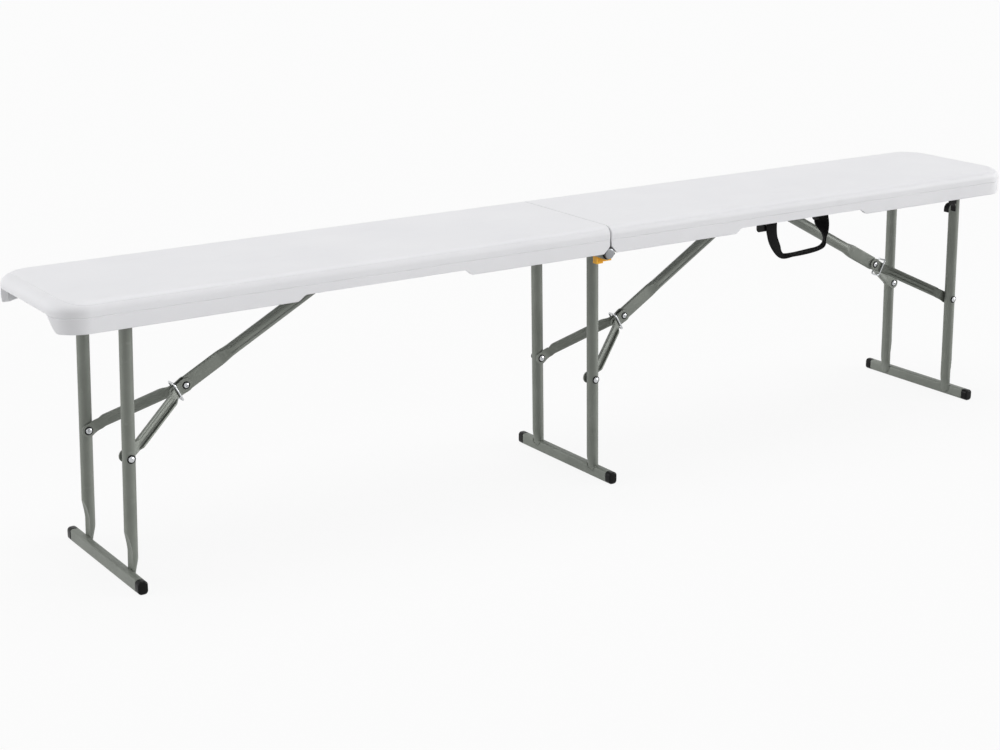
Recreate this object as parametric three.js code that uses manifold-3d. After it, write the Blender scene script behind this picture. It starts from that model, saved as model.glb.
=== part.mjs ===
// Folding bench: two blow-moulded seat halves hinged at the middle, on three folding leg frames.
// Millimetres, +X right along the seat, +Y to the back, +Z up. The floor is Z 0 and X 0 is the centre hinge.
import * as THREE from 'three';
import { mergeVertices } from 'three/addons/utils/BufferGeometryUtils.js';
import Module from 'manifold-3d';

const wasm = await Module();
wasm.setup();

// Clearances and tool values
const gap = 0.3; // between pieces that rest on each other
const overrun = 2; // how far a cut runs past the piece
const weldTolerance = 1e-4; // points closer than this are one
const rad = (degrees) => THREE.MathUtils.degToRad(degrees);

// Seat
const seatLength = 1830;
const seatWidth = 252;
const seatTop = 430;
const skirtBottom = 386.3;
const seamGap = 0.8;
const panelThickness = 10;
const sideWall = 7;
const endWall = 10;
const hingeWall = 6;
const planRadius = 49;
const innerPlanRadius = 40;
const topEdgeRadius = 14;
const endEdgeWidth = 20;
const bottomEdgeRadius = 2;
const partingHeight = 409;
const partingDepth = 0.6;
const partingHalfWidth = 0.9;
const panelUnderside = seatTop - panelThickness;

// Cut-outs in the skirts
const sideNotch = { start: 257, end: 559, ramp: 17.5, floor: 395.5 };
const endNotch = { halfWidth: 82, ramp: 24, floor: 412.5, depth: 45 };
const hingeChamfer = { run: 13.5, top: 398 };

// Centre hinge
const hingeHeight = 386;
const rodRadius = 5;
const rodHalfLength = 123;
const hingeCap = { radius: 8.5, length: 6, inner: seatWidth / 2 - sideWall + gap, edge: 0.8 };
const hingePlate = {
  thickness: 3.5, eyeRadius: 8.6, boreClearance: 0.25, length: 112, cornerRadius: 4,
  top: 417, bottom: 401.5, rampFoot: 30, rampHead: 44, shoulder: 22, neck: 10, toe: 389,
};

// Rails under each half
const rail = { start: 76, end: 870, webInner: 100, sheet: 2, flange: 12, bottom: 399, top: 419.7, boreClearance: 0.3 };

// Tubes of the leg frames
const tubeRadius = 9.5;
const tubeWall = 1.5;
const legHalfSpacing = 78;
const pivotTube = { radius: 7.5, wall: 1.5, halfLength: 108 };
const knuckle = { radius: 8.5, length: 26 };
const legTopDrop = 3;

// Foot bars
const bar = { width: 14, height: 19, cornerRadius: 5, wall: 1.5, halfLength: 119, cornerSteps: 3 };
const footCap = { width: 15.4, height: 20, cornerRadius: 5.5, length: 13, edge: 1.5, plugLength: 12 };
const barCentre = footCap.height / 2;

// Rivets and bolts
const rivet = { shank: 3, hole: 3.3, headRadius: 6.5, headHeight: 2.8 };
const elbowHead = { radius: 5.5, height: 1.2 };
const bolt = { shank: 4, hole: 4.3, headRadius: 7, headHeight: 4 };

// Folding braces
const braceEnd = { halfHeight: 12, halfThickness: 3, start: 3, flatLength: 62, roundStart: 88 };
const tongue = { reach: 26, halfHeight: 7 };
const arm = {
  sheet: 2.5, clearance: 0.4, elbowRadius: 10.5, legRadius: 10, halfHeight: 8.7,
  straight: 14, legFlat: 14, flange: 7, flangeSheet: 2, flangeStart: 21, flangeTaper: 12, necking: 17,
};
const ring = { wire: 1.5, halfWidth: 9.2, halfHeight: 15.5, cornerRadius: 6, seat: -15.9 };
const bracket = { sheet: 2.5, ear: 2.5, earRadius: 9.5, halfLength: 22, drop: 14, pivotHeight: 405.5 };

// The three leg frames: the end legs hang on tubes in the rails, the mid leg on the hinge rod
const endLeg = { pivotHeight: 408.5, lean: 1.7, barShift: -6, dent: 8.5, rivetDrop: 222, braceRun: 402, fold: 89.5, elbowRise: 5 };
const midLeg = { pivotHeight: hingeHeight, lean: -1.14, barShift: 2.5, dent: 0, rivetDrop: 218, braceRun: 392, fold: 88.3, elbowRise: 0 };
const leftPivot = -799;
const rightPivot = 825;
const dentFlat = 21; // length of full depth above the foot bar
const dentRamp = 24;
const tongueFoot = { end: 3.5, mid: 6.5 };

// Sliding lock at the centre hinge
const lock = {
  xMin: -29, xMax: -7, zMin: 370, zMax: 391.6, yMin: -118.6, yMax: -106.3,
  hookMin: -46, hookBottom: 384, tongueEnd: 10, tongueBottom: 372.5, tongueTop: 376.5, tongueOuter: -116, tongueInner: -109,
};
const guide = { xMin: -72, xMax: -23, sheet: 2.5, bottom: 386.6, outer: -115.5, lugXMin: -60, lugXMax: -38 };
const catchPin = { x: 14, z: 383, radius: 2.5, outer: -116 };

// Closing clip on the right half, which grips the left pivot tube when the bench is folded
const clip = { jawRadius: 8, wall: 2, inner: 88, outer: 98.5, stem: 18, sheet: 2.6, top: 412 };

// Carry handle of webbing
const handle = {
  left: 345, right: 459, top: 389, drop: 57, width: 25, sheet: 2.2, y: -117,
  leftAnchor: [313, 357], rightAnchor: [438, 472], anchorBack: -104, leftAnchorFoot: 380.5, rightAnchorFoot: 387,
  anchorRound: 7,
};
// Places along the handle: share of its span, share of its drop, turn of the webbing in degrees
const handleShares = [
  [0, 0, 0], [0.016, 0.22, 0], [0.05, 0.45, 38], [0.15, 0.74, 62], [0.24, 0.92, 76], [0.34, 0.99, 82],
  [0.5, 1, 80], [0.68, 1, 80], [0.88, 0.96, 80], [1.03, 0.89, 84], [1.095, 0.8, 88], [1.1, 0.68, 90],
  [1.07, 0.42, 52], [1.03, 0.2, 20], [1.005, 0.06, 0], [1, 0, 0],
];

// Facets
const cornerSteps = 8;
const tubeSides = 20;
const boreSides = 12;
const smallSides = 10;

// Materials
const moulded = new THREE.MeshStandardMaterial({ color: 0xe6e6e8, roughness: 0.55, metalness: 0 });
const painted = new THREE.MeshStandardMaterial({ color: 0x7c807c, roughness: 0.4, metalness: 0.55 });
const zinc = new THREE.MeshStandardMaterial({ color: 0xb9bcc0, roughness: 0.3, metalness: 0.9 });
const blackPlastic = new THREE.MeshStandardMaterial({ color: 0x1c1c1d, roughness: 0.6, metalness: 0 });
const yellowPlastic = new THREE.MeshStandardMaterial({ color: 0xf0a825, roughness: 0.45, metalness: 0 });
const webbing = new THREE.MeshStandardMaterial({ color: 0x232324, roughness: 0.9, metalness: 0 });

// Solids and meshes
function solid(geometry) {
  geometry.deleteAttribute('normal');
  geometry.deleteAttribute('uv');
  const merged = mergeVertices(geometry, weldTolerance);
  return new wasm.Manifold(new wasm.Mesh({
    numProp: 3,
    vertProperties: new Float32Array(merged.attributes.position.array),
    triVerts: new Uint32Array(merged.index.array),
  }));
}

function meshOf(name, manifold, material) {
  const data = manifold.getMesh();
  const geometry = new THREE.BufferGeometry();
  geometry.setAttribute('position', new THREE.BufferAttribute(new Float32Array(data.vertProperties), 3));
  geometry.setIndex(new THREE.BufferAttribute(new Uint32Array(data.triVerts), 1));
  geometry.computeVertexNormals();
  const mesh = new THREE.Mesh(geometry, material);
  mesh.name = name;
  return mesh;
}

const shapeOf = (points) => new THREE.Shape(points.map(([a, b]) => new THREE.Vector2(a, b)));

function arc(cx, cy, radius, from, to, steps) {
  return Array.from({ length: steps + 1 }, (_, i) => {
    const angle = rad(from + (to - from) * i / steps);
    return [cx + radius * Math.cos(angle), cy + radius * Math.sin(angle)];
  });
}

const circle = (cx, cy, radius, sides) => arc(cx, cy, radius, 0, 360, sides).slice(0, -1);

function extruded(points, depth) {
  return new THREE.ExtrudeGeometry(shapeOf(points), { depth, bevelEnabled: false });
}

// Prisms: an outline in X and Z run along Y, one in Y and Z along X, and one in X and Y along Z
const alongY = (points, y0, y1) => solid(extruded(points, y1 - y0).rotateX(Math.PI / 2).translate(0, y1, 0));
const cycle = new THREE.Matrix4().makeBasis(
  new THREE.Vector3(0, 1, 0), new THREE.Vector3(0, 0, 1), new THREE.Vector3(1, 0, 0));
const alongX = (points, x0, x1) => solid(extruded(points, x1 - x0).applyMatrix4(cycle).translate(x0, 0, 0));
const alongZ = (points, z0, z1) => solid(extruded(points, z1 - z0).translate(0, 0, z0));
const rect = (a0, a1, b0, b1) => [[a0, b0], [a1, b0], [a1, b1], [a0, b1]];
const box = (x0, x1, y0, y1, z0, z1) => alongZ(rect(x0, x1, y0, y1), z0, z1);
const rod = (x, z, radius, y0, y1, sides = boreSides) => alongY(circle(x, z, radius, sides), y0, y1);

function roundedRect(cx, cy, width, height, radius, steps) {
  const [a, b] = [width / 2 - radius, height / 2 - radius];
  return [
    ...arc(cx + a, cy - b, radius, -90, 0, steps), ...arc(cx + a, cy + b, radius, 0, 90, steps),
    ...arc(cx - a, cy + b, radius, 90, 180, steps), ...arc(cx - a, cy - b, radius, 180, 270, steps),
  ];
}

// Skin over rings of points: capped at both ends, or joined round to the first ring
function loft(rings, joined = false) {
  const count = rings[0].length;
  const index = [];
  const last = joined ? rings.length : rings.length - 1;
  for (let k = 0; k < last; k += 1) {
    const next = (k + 1) % rings.length;
    for (let i = 0; i < count; i += 1) {
      const j = (i + 1) % count;
      const [a, b, c, d] = [k * count + i, k * count + j, next * count + j, next * count + i];
      index.push(a, b, c, a, c, d);
    }
  }
  if (!joined) {
    const top = (rings.length - 1) * count;
    for (let i = 1; i < count - 1; i += 1) index.push(0, i + 1, i, top, top + i, top + i + 1);
  }
  const geometry = new THREE.BufferGeometry();
  geometry.setAttribute('position', new THREE.Float32BufferAttribute(rings.flat(2), 3));
  const volume = signedVolume(rings.flat(), index);
  if (volume < 0) index.reverse();
  geometry.setIndex(index);
  return solid(geometry);
}

function signedVolume(points, index) {
  let sum = 0;
  for (let t = 0; t < index.length; t += 3) {
    const [a, b, c] = [points[index[t]], points[index[t + 1]], points[index[t + 2]]];
    sum += a[0] * (b[1] * c[2] - b[2] * c[1]) - a[1] * (b[0] * c[2] - b[2] * c[0]) + a[2] * (b[0] * c[1] - b[1] * c[0]);
  }
  return sum;
}

// A turned piece on an axis along Y: profile points are [radius, y]
function turned(profile, x, z, sides) {
  const points = profile.map(([radius, y]) => new THREE.Vector2(radius, y));
  return solid(new THREE.LatheGeometry(points, sides).translate(x, 0, z));
}

// Domed rivet head that stands off a face at y, away from the centre for direction 1
function dome(x, z, radius, height, y, direction, sides) {
  const profile = [[0, y], [radius, y], [radius, y + direction * height * 0.3], [radius * 0.8, y + direction * height * 0.75],
    [radius * 0.45, y + direction * height * 0.95], [0, y + direction * height]];
  return turned(direction > 0 ? profile : profile.reverse(), x, z, sides);
}

// Seat half, drawn on the +X side of the hinge
function planLoop(halfLength, halfWidth, radius, start, z) {
  const [cx, cy] = [halfLength - radius, halfWidth - radius];
  const outline = [[start, -halfWidth], ...arc(cx, -cy, radius, -90, 0, cornerSteps),
    ...arc(cx, cy, radius, 0, 90, cornerSteps), [start, halfWidth]];
  return outline.map(([x, y]) => [x, y, z]);
}

const smooth = (t) => (1 - Math.cos(Math.PI * t)) / 2;

function seatHalf() {
  const [halfLength, halfWidth, start] = [seatLength / 2, seatWidth / 2, seamGap / 2];
  const outerAt = (inset, z, endInset = inset) =>
    planLoop(halfLength - endInset, halfWidth - inset, planRadius - inset, start, z);
  const edgeSteps = 6;
  const edge = Array.from({ length: edgeSteps + 1 }, (_, i) => {
    const angle = rad(90 * i / edgeSteps);
    const drawnIn = 1 - Math.cos(angle);
    return outerAt(topEdgeRadius * drawnIn, seatTop - topEdgeRadius * (1 - Math.sin(angle)), endEdgeWidth * drawnIn);
  });
  const outer = loft([
    outerAt(bottomEdgeRadius, skirtBottom),
    outerAt(bottomEdgeRadius * 0.3, skirtBottom + bottomEdgeRadius * 0.35),
    outerAt(0, skirtBottom + bottomEdgeRadius),
    outerAt(0, partingHeight - partingHalfWidth),
    outerAt(partingDepth, partingHeight),
    outerAt(0, partingHeight + partingHalfWidth),
    ...edge,
  ]);
  const innerAt = (z, draft) => planLoop(
    halfLength - endWall - draft, halfWidth - sideWall - draft, innerPlanRadius - draft, start + hingeWall, z);
  const draft = 2;
  const cavity = loft([
    innerAt(skirtBottom - overrun, 0), innerAt(panelUnderside - 2 * draft, 0),
    innerAt(panelUnderside - draft / 2, draft / 2), innerAt(panelUnderside, draft),
  ]);
  const hingeMouth = box(
    -overrun, start + hingeWall + overrun, sideWall - halfWidth, halfWidth - sideWall,
    skirtBottom - overrun, hingeChamfer.top);
  const rampSteps = 6;
  const ramp = (from, to, floor) => Array.from({ length: rampSteps + 1 }, (_, i) => {
    const t = i / rampSteps;
    return [from + (to - from) * t, skirtBottom + (floor - skirtBottom) * smooth(t)];
  });
  const below = skirtBottom - overrun;
  const feet = [[sideNotch.start, below], ...ramp(sideNotch.start, sideNotch.start + sideNotch.ramp, sideNotch.floor),
    ...ramp(sideNotch.end, sideNotch.end - sideNotch.ramp, sideNotch.floor).reverse(), [sideNotch.end, below]];
  const endHalf = endNotch.halfWidth + endNotch.ramp;
  const grip = [[-endHalf, below], ...ramp(-endHalf, -endNotch.halfWidth, endNotch.floor),
    ...ramp(endHalf, endNotch.halfWidth, endNotch.floor).reverse(), [endHalf, below]];
  const chamfer = [[0, below], [hingeChamfer.run, below], [hingeChamfer.run, skirtBottom],
    [start, hingeChamfer.top], [0, hingeChamfer.top]];
  return outer
    .subtract(cavity)
    .subtract(hingeMouth)
    .subtract(alongY(feet.reverse(), -halfWidth - overrun, halfWidth + overrun))
    .subtract(alongX(grip.reverse(), halfLength - endNotch.depth, halfLength + overrun))
    .subtract(alongY(chamfer, -halfWidth - overrun, halfWidth + overrun));
}

// Channel rail on the +X side and the +Y side, open to the outside
function railSolid(pivot) {
  const inner = rail.webInner;
  const [outer, sheet] = [inner + rail.flange + rail.sheet, rail.sheet];
  const channel = [
    [inner, rail.bottom], [outer, rail.bottom], [outer, rail.bottom + sheet], [inner + sheet, rail.bottom + sheet],
    [inner + sheet, rail.top - sheet], [outer, rail.top - sheet], [outer, rail.top], [inner, rail.top],
  ];
  const boreRadius = pivotTube.radius + rail.boreClearance;
  return alongX(channel, rail.start, rail.end)
    .subtract(rod(pivot, endLeg.pivotHeight, boreRadius, inner - overrun, inner + sheet + overrun, tubeSides));
}

// Hinge plate with its eye, drawn on the +X side between two Y values
function hingePlateSolid(y0, y1) {
  const { eyeRadius, length, cornerRadius, top, bottom } = hingePlate;
  const outline = [
    ...arc(0, hingeHeight, eyeRadius, 90, 270, boreSides / 2),
    [hingePlate.rampFoot, hingePlate.toe], [hingePlate.rampHead, bottom],
    ...arc(length - cornerRadius, bottom + cornerRadius, cornerRadius, -90, 0, 3),
    ...arc(length - cornerRadius, top - cornerRadius, cornerRadius, 0, 90, 3),
    [hingePlate.shoulder, top], [hingePlate.neck, hingeHeight + eyeRadius],
  ];
  const eye = rod(0, hingeHeight, rodRadius + hingePlate.boreClearance, y0 - overrun, y1 + overrun);
  return alongY(outline, y0, y1).subtract(eye);
}

// A copy turned half a turn about the upright hinge line, or moved to the other side of the middle
const turnedRound = (manifold) => manifold.rotate([0, 0, 180]);
const mirroredY = (manifold) => manifold.mirror([0, 1, 0]);

function halfFrame(side) {
  const onLeft = side === 'left';
  const pivot = onLeft ? -leftPivot : rightPivot;
  const place = (manifold) => (onLeft ? turnedRound(manifold) : manifold);
  const inner = rail.webInner - gap - hingePlate.thickness;
  const outer = rail.webInner + rail.sheet + gap;
  const plateStart = onLeft ? inner : outer;
  const plate = hingePlateSolid(plateStart, plateStart + hingePlate.thickness);
  const plates = { back: plate, front: mirroredY(plate) };
  const rails = { back: railSolid(pivot), front: mirroredY(railSolid(pivot)) };
  if (onLeft) {
    [plates.back, plates.front] = [turnedRound(plates.front), turnedRound(plates.back)];
    [rails.back, rails.front] = [turnedRound(rails.front), turnedRound(rails.back)];
    plates.front = plates.front.add(lockGuide());
  } else {
    plates.front = plates.front.add(
      rod(catchPin.x, catchPin.z, catchPin.radius, catchPin.outer, -plateStart - hingePlate.thickness / 2, smallSides));
  }
  return [
    meshOf(`seat_${side}`, place(seatHalf()), moulded),
    meshOf(`rail_${side}_front`, rails.front, painted),
    meshOf(`rail_${side}_back`, rails.back, painted),
    meshOf(`hinge_plate_${side}_front`, plates.front, painted),
    meshOf(`hinge_plate_${side}_back`, plates.back, painted),
  ];
}

// Cross bracket between the rails, with a pair of ears for each brace bolt
function bracketSolid(pivots) {
  const [first, last] = [Math.min(...pivots), Math.max(...pivots)];
  const [x0, x1] = [first - bracket.halfLength, last + bracket.halfLength];
  const half = rail.webInner - gap - 0;
  const top = rail.top;
  const plate = box(x0, x1, -half, half, top - bracket.sheet, top);
  const turnDown = (y0, y1) => box(x0, x1, y0, y1, top - bracket.drop, top);
  const earInner = tubeRadius + gap * 2;
  const z = bracket.pivotHeight;
  const outline = [
    ...arc(first, z, bracket.earRadius, 180, 270, smallSides / 2), ...arc(last, z, bracket.earRadius, -90, 0, smallSides / 2),
    [last + bracket.earRadius, top - bracket.sheet / 2], [first - bracket.earRadius, top - bracket.sheet / 2],
  ];
  let body = plate
    .add(turnDown(half - bracket.sheet, half))
    .add(turnDown(-half, bracket.sheet - half))
    .add(alongY(outline, earInner, earInner + bracket.ear))
    .add(alongY(outline, -earInner - bracket.ear, -earInner));
  for (const x of pivots) body = body.subtract(rod(x, z, bolt.hole, -half, half, smallSides));
  return body;
}

// Leg tube with both ends coped; its frame has the pivot at the origin and the tube along -Z
function legTubeSolid(leg, spec) {
  const { lean, pivotHeight, copeRadius, foot, dent } = leg;
  const reach = (pivotHeight - foot) / Math.cos(rad(Math.abs(lean)));
  const sides = tubeSides;
  const dentEnd = -pivotHeight + barCentre + bar.height / 2 + dentFlat;
  const rampShares = [0, 0.2, 0.4, 0.6, 0.8, 1];
  const stations = dent > 0
    ? [-reach, ...rampShares.map((share) => dentEnd + dentRamp * share), -legTopDrop]
    : [-reach, -legTopDrop];
  const depthAt = (z) => dent * smooth(THREE.MathUtils.clamp(1 - (z - dentEnd) / dentRamp, 0, 1));
  const ringAt = (radius, wall, z) => circle(0, 0, radius, sides).map(([x, y]) => {
    const limit = tubeRadius - depthAt(z) - wall;
    return [Math.max(x, -limit), y, z];
  });
  const outerRings = stations.map((z) => ringAt(tubeRadius, 0, z));
  const innerRings = stations.map((z) => ringAt(tubeRadius - tubeWall, tubeWall, z)).reverse();
  const tube = loft([...outerRings, ...innerRings], true)
    .subtract(rod(0, -spec.rivetDrop, rivet.hole, -tubeRadius - overrun, tubeRadius + overrun, smallSides))
    .rotate([0, lean, 0])
    .translate([0, 0, pivotHeight]);
  const footOutline = [
    ...arc(0, foot + tubeRadius, tubeRadius + gap, 180, 360, smallSides),
    [tubeRadius + gap, pivotHeight], [-tubeRadius - gap, pivotHeight],
  ];
  const grown = (size) => size + 2 * gap;
  const barOutline = roundedRect(
    leg.barX, barCentre, grown(bar.width), grown(bar.height), bar.cornerRadius + gap, bar.cornerSteps);
  return tube
    .intersect(alongX(footOutline, -pivotHeight, pivotHeight))
    .subtract(alongY(barOutline, -tubeRadius - overrun, tubeRadius + overrun))
    .subtract(rod(0, pivotHeight, copeRadius, -tubeRadius - overrun, tubeRadius + overrun, tubeSides));
}

// Outline of a strip that follows a line of points at two offsets
function ribbon(points, innerOffset, outerOffset, taper = 0) {
  const offset = (distance, trim) => points.map(([x, y], i) => {
    const before = points[Math.max(i - 1, 0)];
    const after = points[Math.min(i + 1, points.length - 1)];
    const left = new THREE.Vector2(x - before[0], y - before[1]).normalize();
    const right = new THREE.Vector2(after[0] - x, after[1] - y).normalize();
    const first = i === 0 ? right : left;
    const second = i === points.length - 1 ? left : right;
    const normal = new THREE.Vector2(-first.y - second.y, first.x + second.x).normalize();
    const stretch = distance / normal.dot(new THREE.Vector2(-first.y, first.x));
    const slide = i === 0 ? trim : i === points.length - 1 ? -trim : 0;
    return [x + normal.x * stretch + first.x * slide, y + normal.y * stretch + first.y * slide];
  });
  return [...offset(innerOffset, 0), ...offset(outerOffset, taper).reverse()];
}

// Arm of the folding brace at +Y: elbow at the origin, the leg rivet at x = -length
function armSolid(length) {
  const elbowY = braceEnd.halfThickness + arm.clearance + arm.sheet / 2;
  const legY = legHalfSpacing - tubeRadius - gap - arm.sheet / 2;
  const bendLeg = -length + arm.legFlat;
  const line = [[arm.elbowRadius, elbowY], [-arm.straight, elbowY], [bendLeg, legY], [-length - arm.legRadius, legY]];
  const slope = (legY - elbowY) / (bendLeg + arm.straight);
  const onSlope = (x) => [x, elbowY + slope * (x + arm.straight)];
  const flangeLine = [onSlope(-arm.flangeStart), onSlope(bendLeg + arm.flangeStart / 2)];
  const web = alongZ(ribbon(line, arm.sheet / 2, -arm.sheet / 2), -arm.elbowRadius, arm.elbowRadius);
  const strip = ribbon(flangeLine, 0, -arm.sheet / 2 - arm.flange, arm.flangeTaper);
  const side = [
    ...arc(0, 0, arm.elbowRadius, -70, 70, 8), [-arm.necking, arm.halfHeight],
    [bendLeg, arm.halfHeight], ...arc(-length, 0, arm.legRadius, 115, 245, 8), [bendLeg, -arm.halfHeight],
    [-arm.necking, -arm.halfHeight],
  ];
  const far = legHalfSpacing + arm.flange;
  const innerFace = legY - arm.sheet / 2;
  const innerHead = dome(-length, 0, rivet.headRadius, rivet.headHeight, innerFace, -1, boreSides)
    .add(rod(-length, 0, rivet.shank, innerFace - rivet.headHeight / 4, innerFace + arm.sheet / 2, smallSides));
  return web
    .add(alongZ(strip, arm.halfHeight - arm.flangeSheet, arm.halfHeight))
    .add(alongZ(strip, -arm.halfHeight, arm.flangeSheet - arm.halfHeight))
    .intersect(alongY(side, 0, far))
    .subtract(rod(0, 0, rivet.hole, 0, far, smallSides))
    .add(innerHead);
}

// Brace tube: elbow at the origin, upper bolt at x = length, with a pressed flat end
function braceSolid(length) {
  const sides = tubeSides;
  const flatEnd = braceEnd.flatLength;
  const ringAt = (x) => {
    const t = smooth(THREE.MathUtils.clamp((x - flatEnd) / (braceEnd.roundStart - flatEnd), 0, 1));
    const halfY = THREE.MathUtils.lerp(braceEnd.halfThickness, tubeRadius, t);
    const halfZ = THREE.MathUtils.lerp(braceEnd.halfHeight, tubeRadius, t);
    const power = THREE.MathUtils.lerp(0.35, 1, t);
    return Array.from({ length: sides }, (_, i) => {
      const angle = 2 * Math.PI * (i + 0.5) / sides;
      const [c, s] = [Math.cos(angle), Math.sin(angle)];
      return [x, halfY * Math.sign(c) * Math.abs(c) ** power, halfZ * Math.sign(s) * Math.abs(s) ** power];
    });
  };
  const transition = [0, 0.2, 0.4, 0.6, 0.8, 1].map((share) => THREE.MathUtils.lerp(flatEnd, braceEnd.roundStart, share));
  const end = length + tubeRadius;
  const tongueOutline = [
    ...arc(-tongue.reach + tongue.halfHeight, 0, tongue.halfHeight, 90, 270, 6),
    [braceEnd.start + overrun, -tongue.halfHeight], [braceEnd.start + overrun, tongue.halfHeight],
  ];
  const endOutline = [
    ...arc(length, 0, tubeRadius, -90, 90, smallSides), [-tongue.reach - overrun, tubeRadius + braceEnd.halfHeight],
    [-tongue.reach - overrun, -tubeRadius - braceEnd.halfHeight],
  ];
  const boreRadius = tubeRadius - tubeWall;
  const bore = alongX(circle(0, 0, boreRadius, boreSides), braceEnd.roundStart + boreRadius / 2, end + overrun);
  return loft([braceEnd.start, ...transition, end].map(ringAt))
    .add(alongY(tongueOutline, -braceEnd.halfThickness, braceEnd.halfThickness))
    .intersect(alongY(endOutline, -tubeRadius - overrun, tubeRadius + overrun))
    .subtract(bore)
    .subtract(rod(0, 0, rivet.hole, -tubeRadius, tubeRadius, smallSides))
    .subtract(rod(length, 0, bolt.hole, -tubeRadius - overrun, tubeRadius + overrun, smallSides));
}

// Wire ring round the elbow: a round wire swept round a rounded rectangle in Y and Z
function ringSolid() {
  const path = roundedRect(0, 0, ring.halfWidth * 2, ring.halfHeight * 2, ring.cornerRadius, 3);
  const wireSides = 6;
  const rings = path.map(([y, z], i) => {
    const [by, bz] = path[(i + path.length - 1) % path.length];
    const [ay, az] = path[(i + 1) % path.length];
    const normal = new THREE.Vector2(az - bz, by - ay).normalize();
    return circle(0, 0, ring.wire, wireSides).map(([out, x]) => [ring.seat + x, y + normal.x * out, z + normal.y * out]);
  });
  return loft(rings, true);
}

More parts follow.
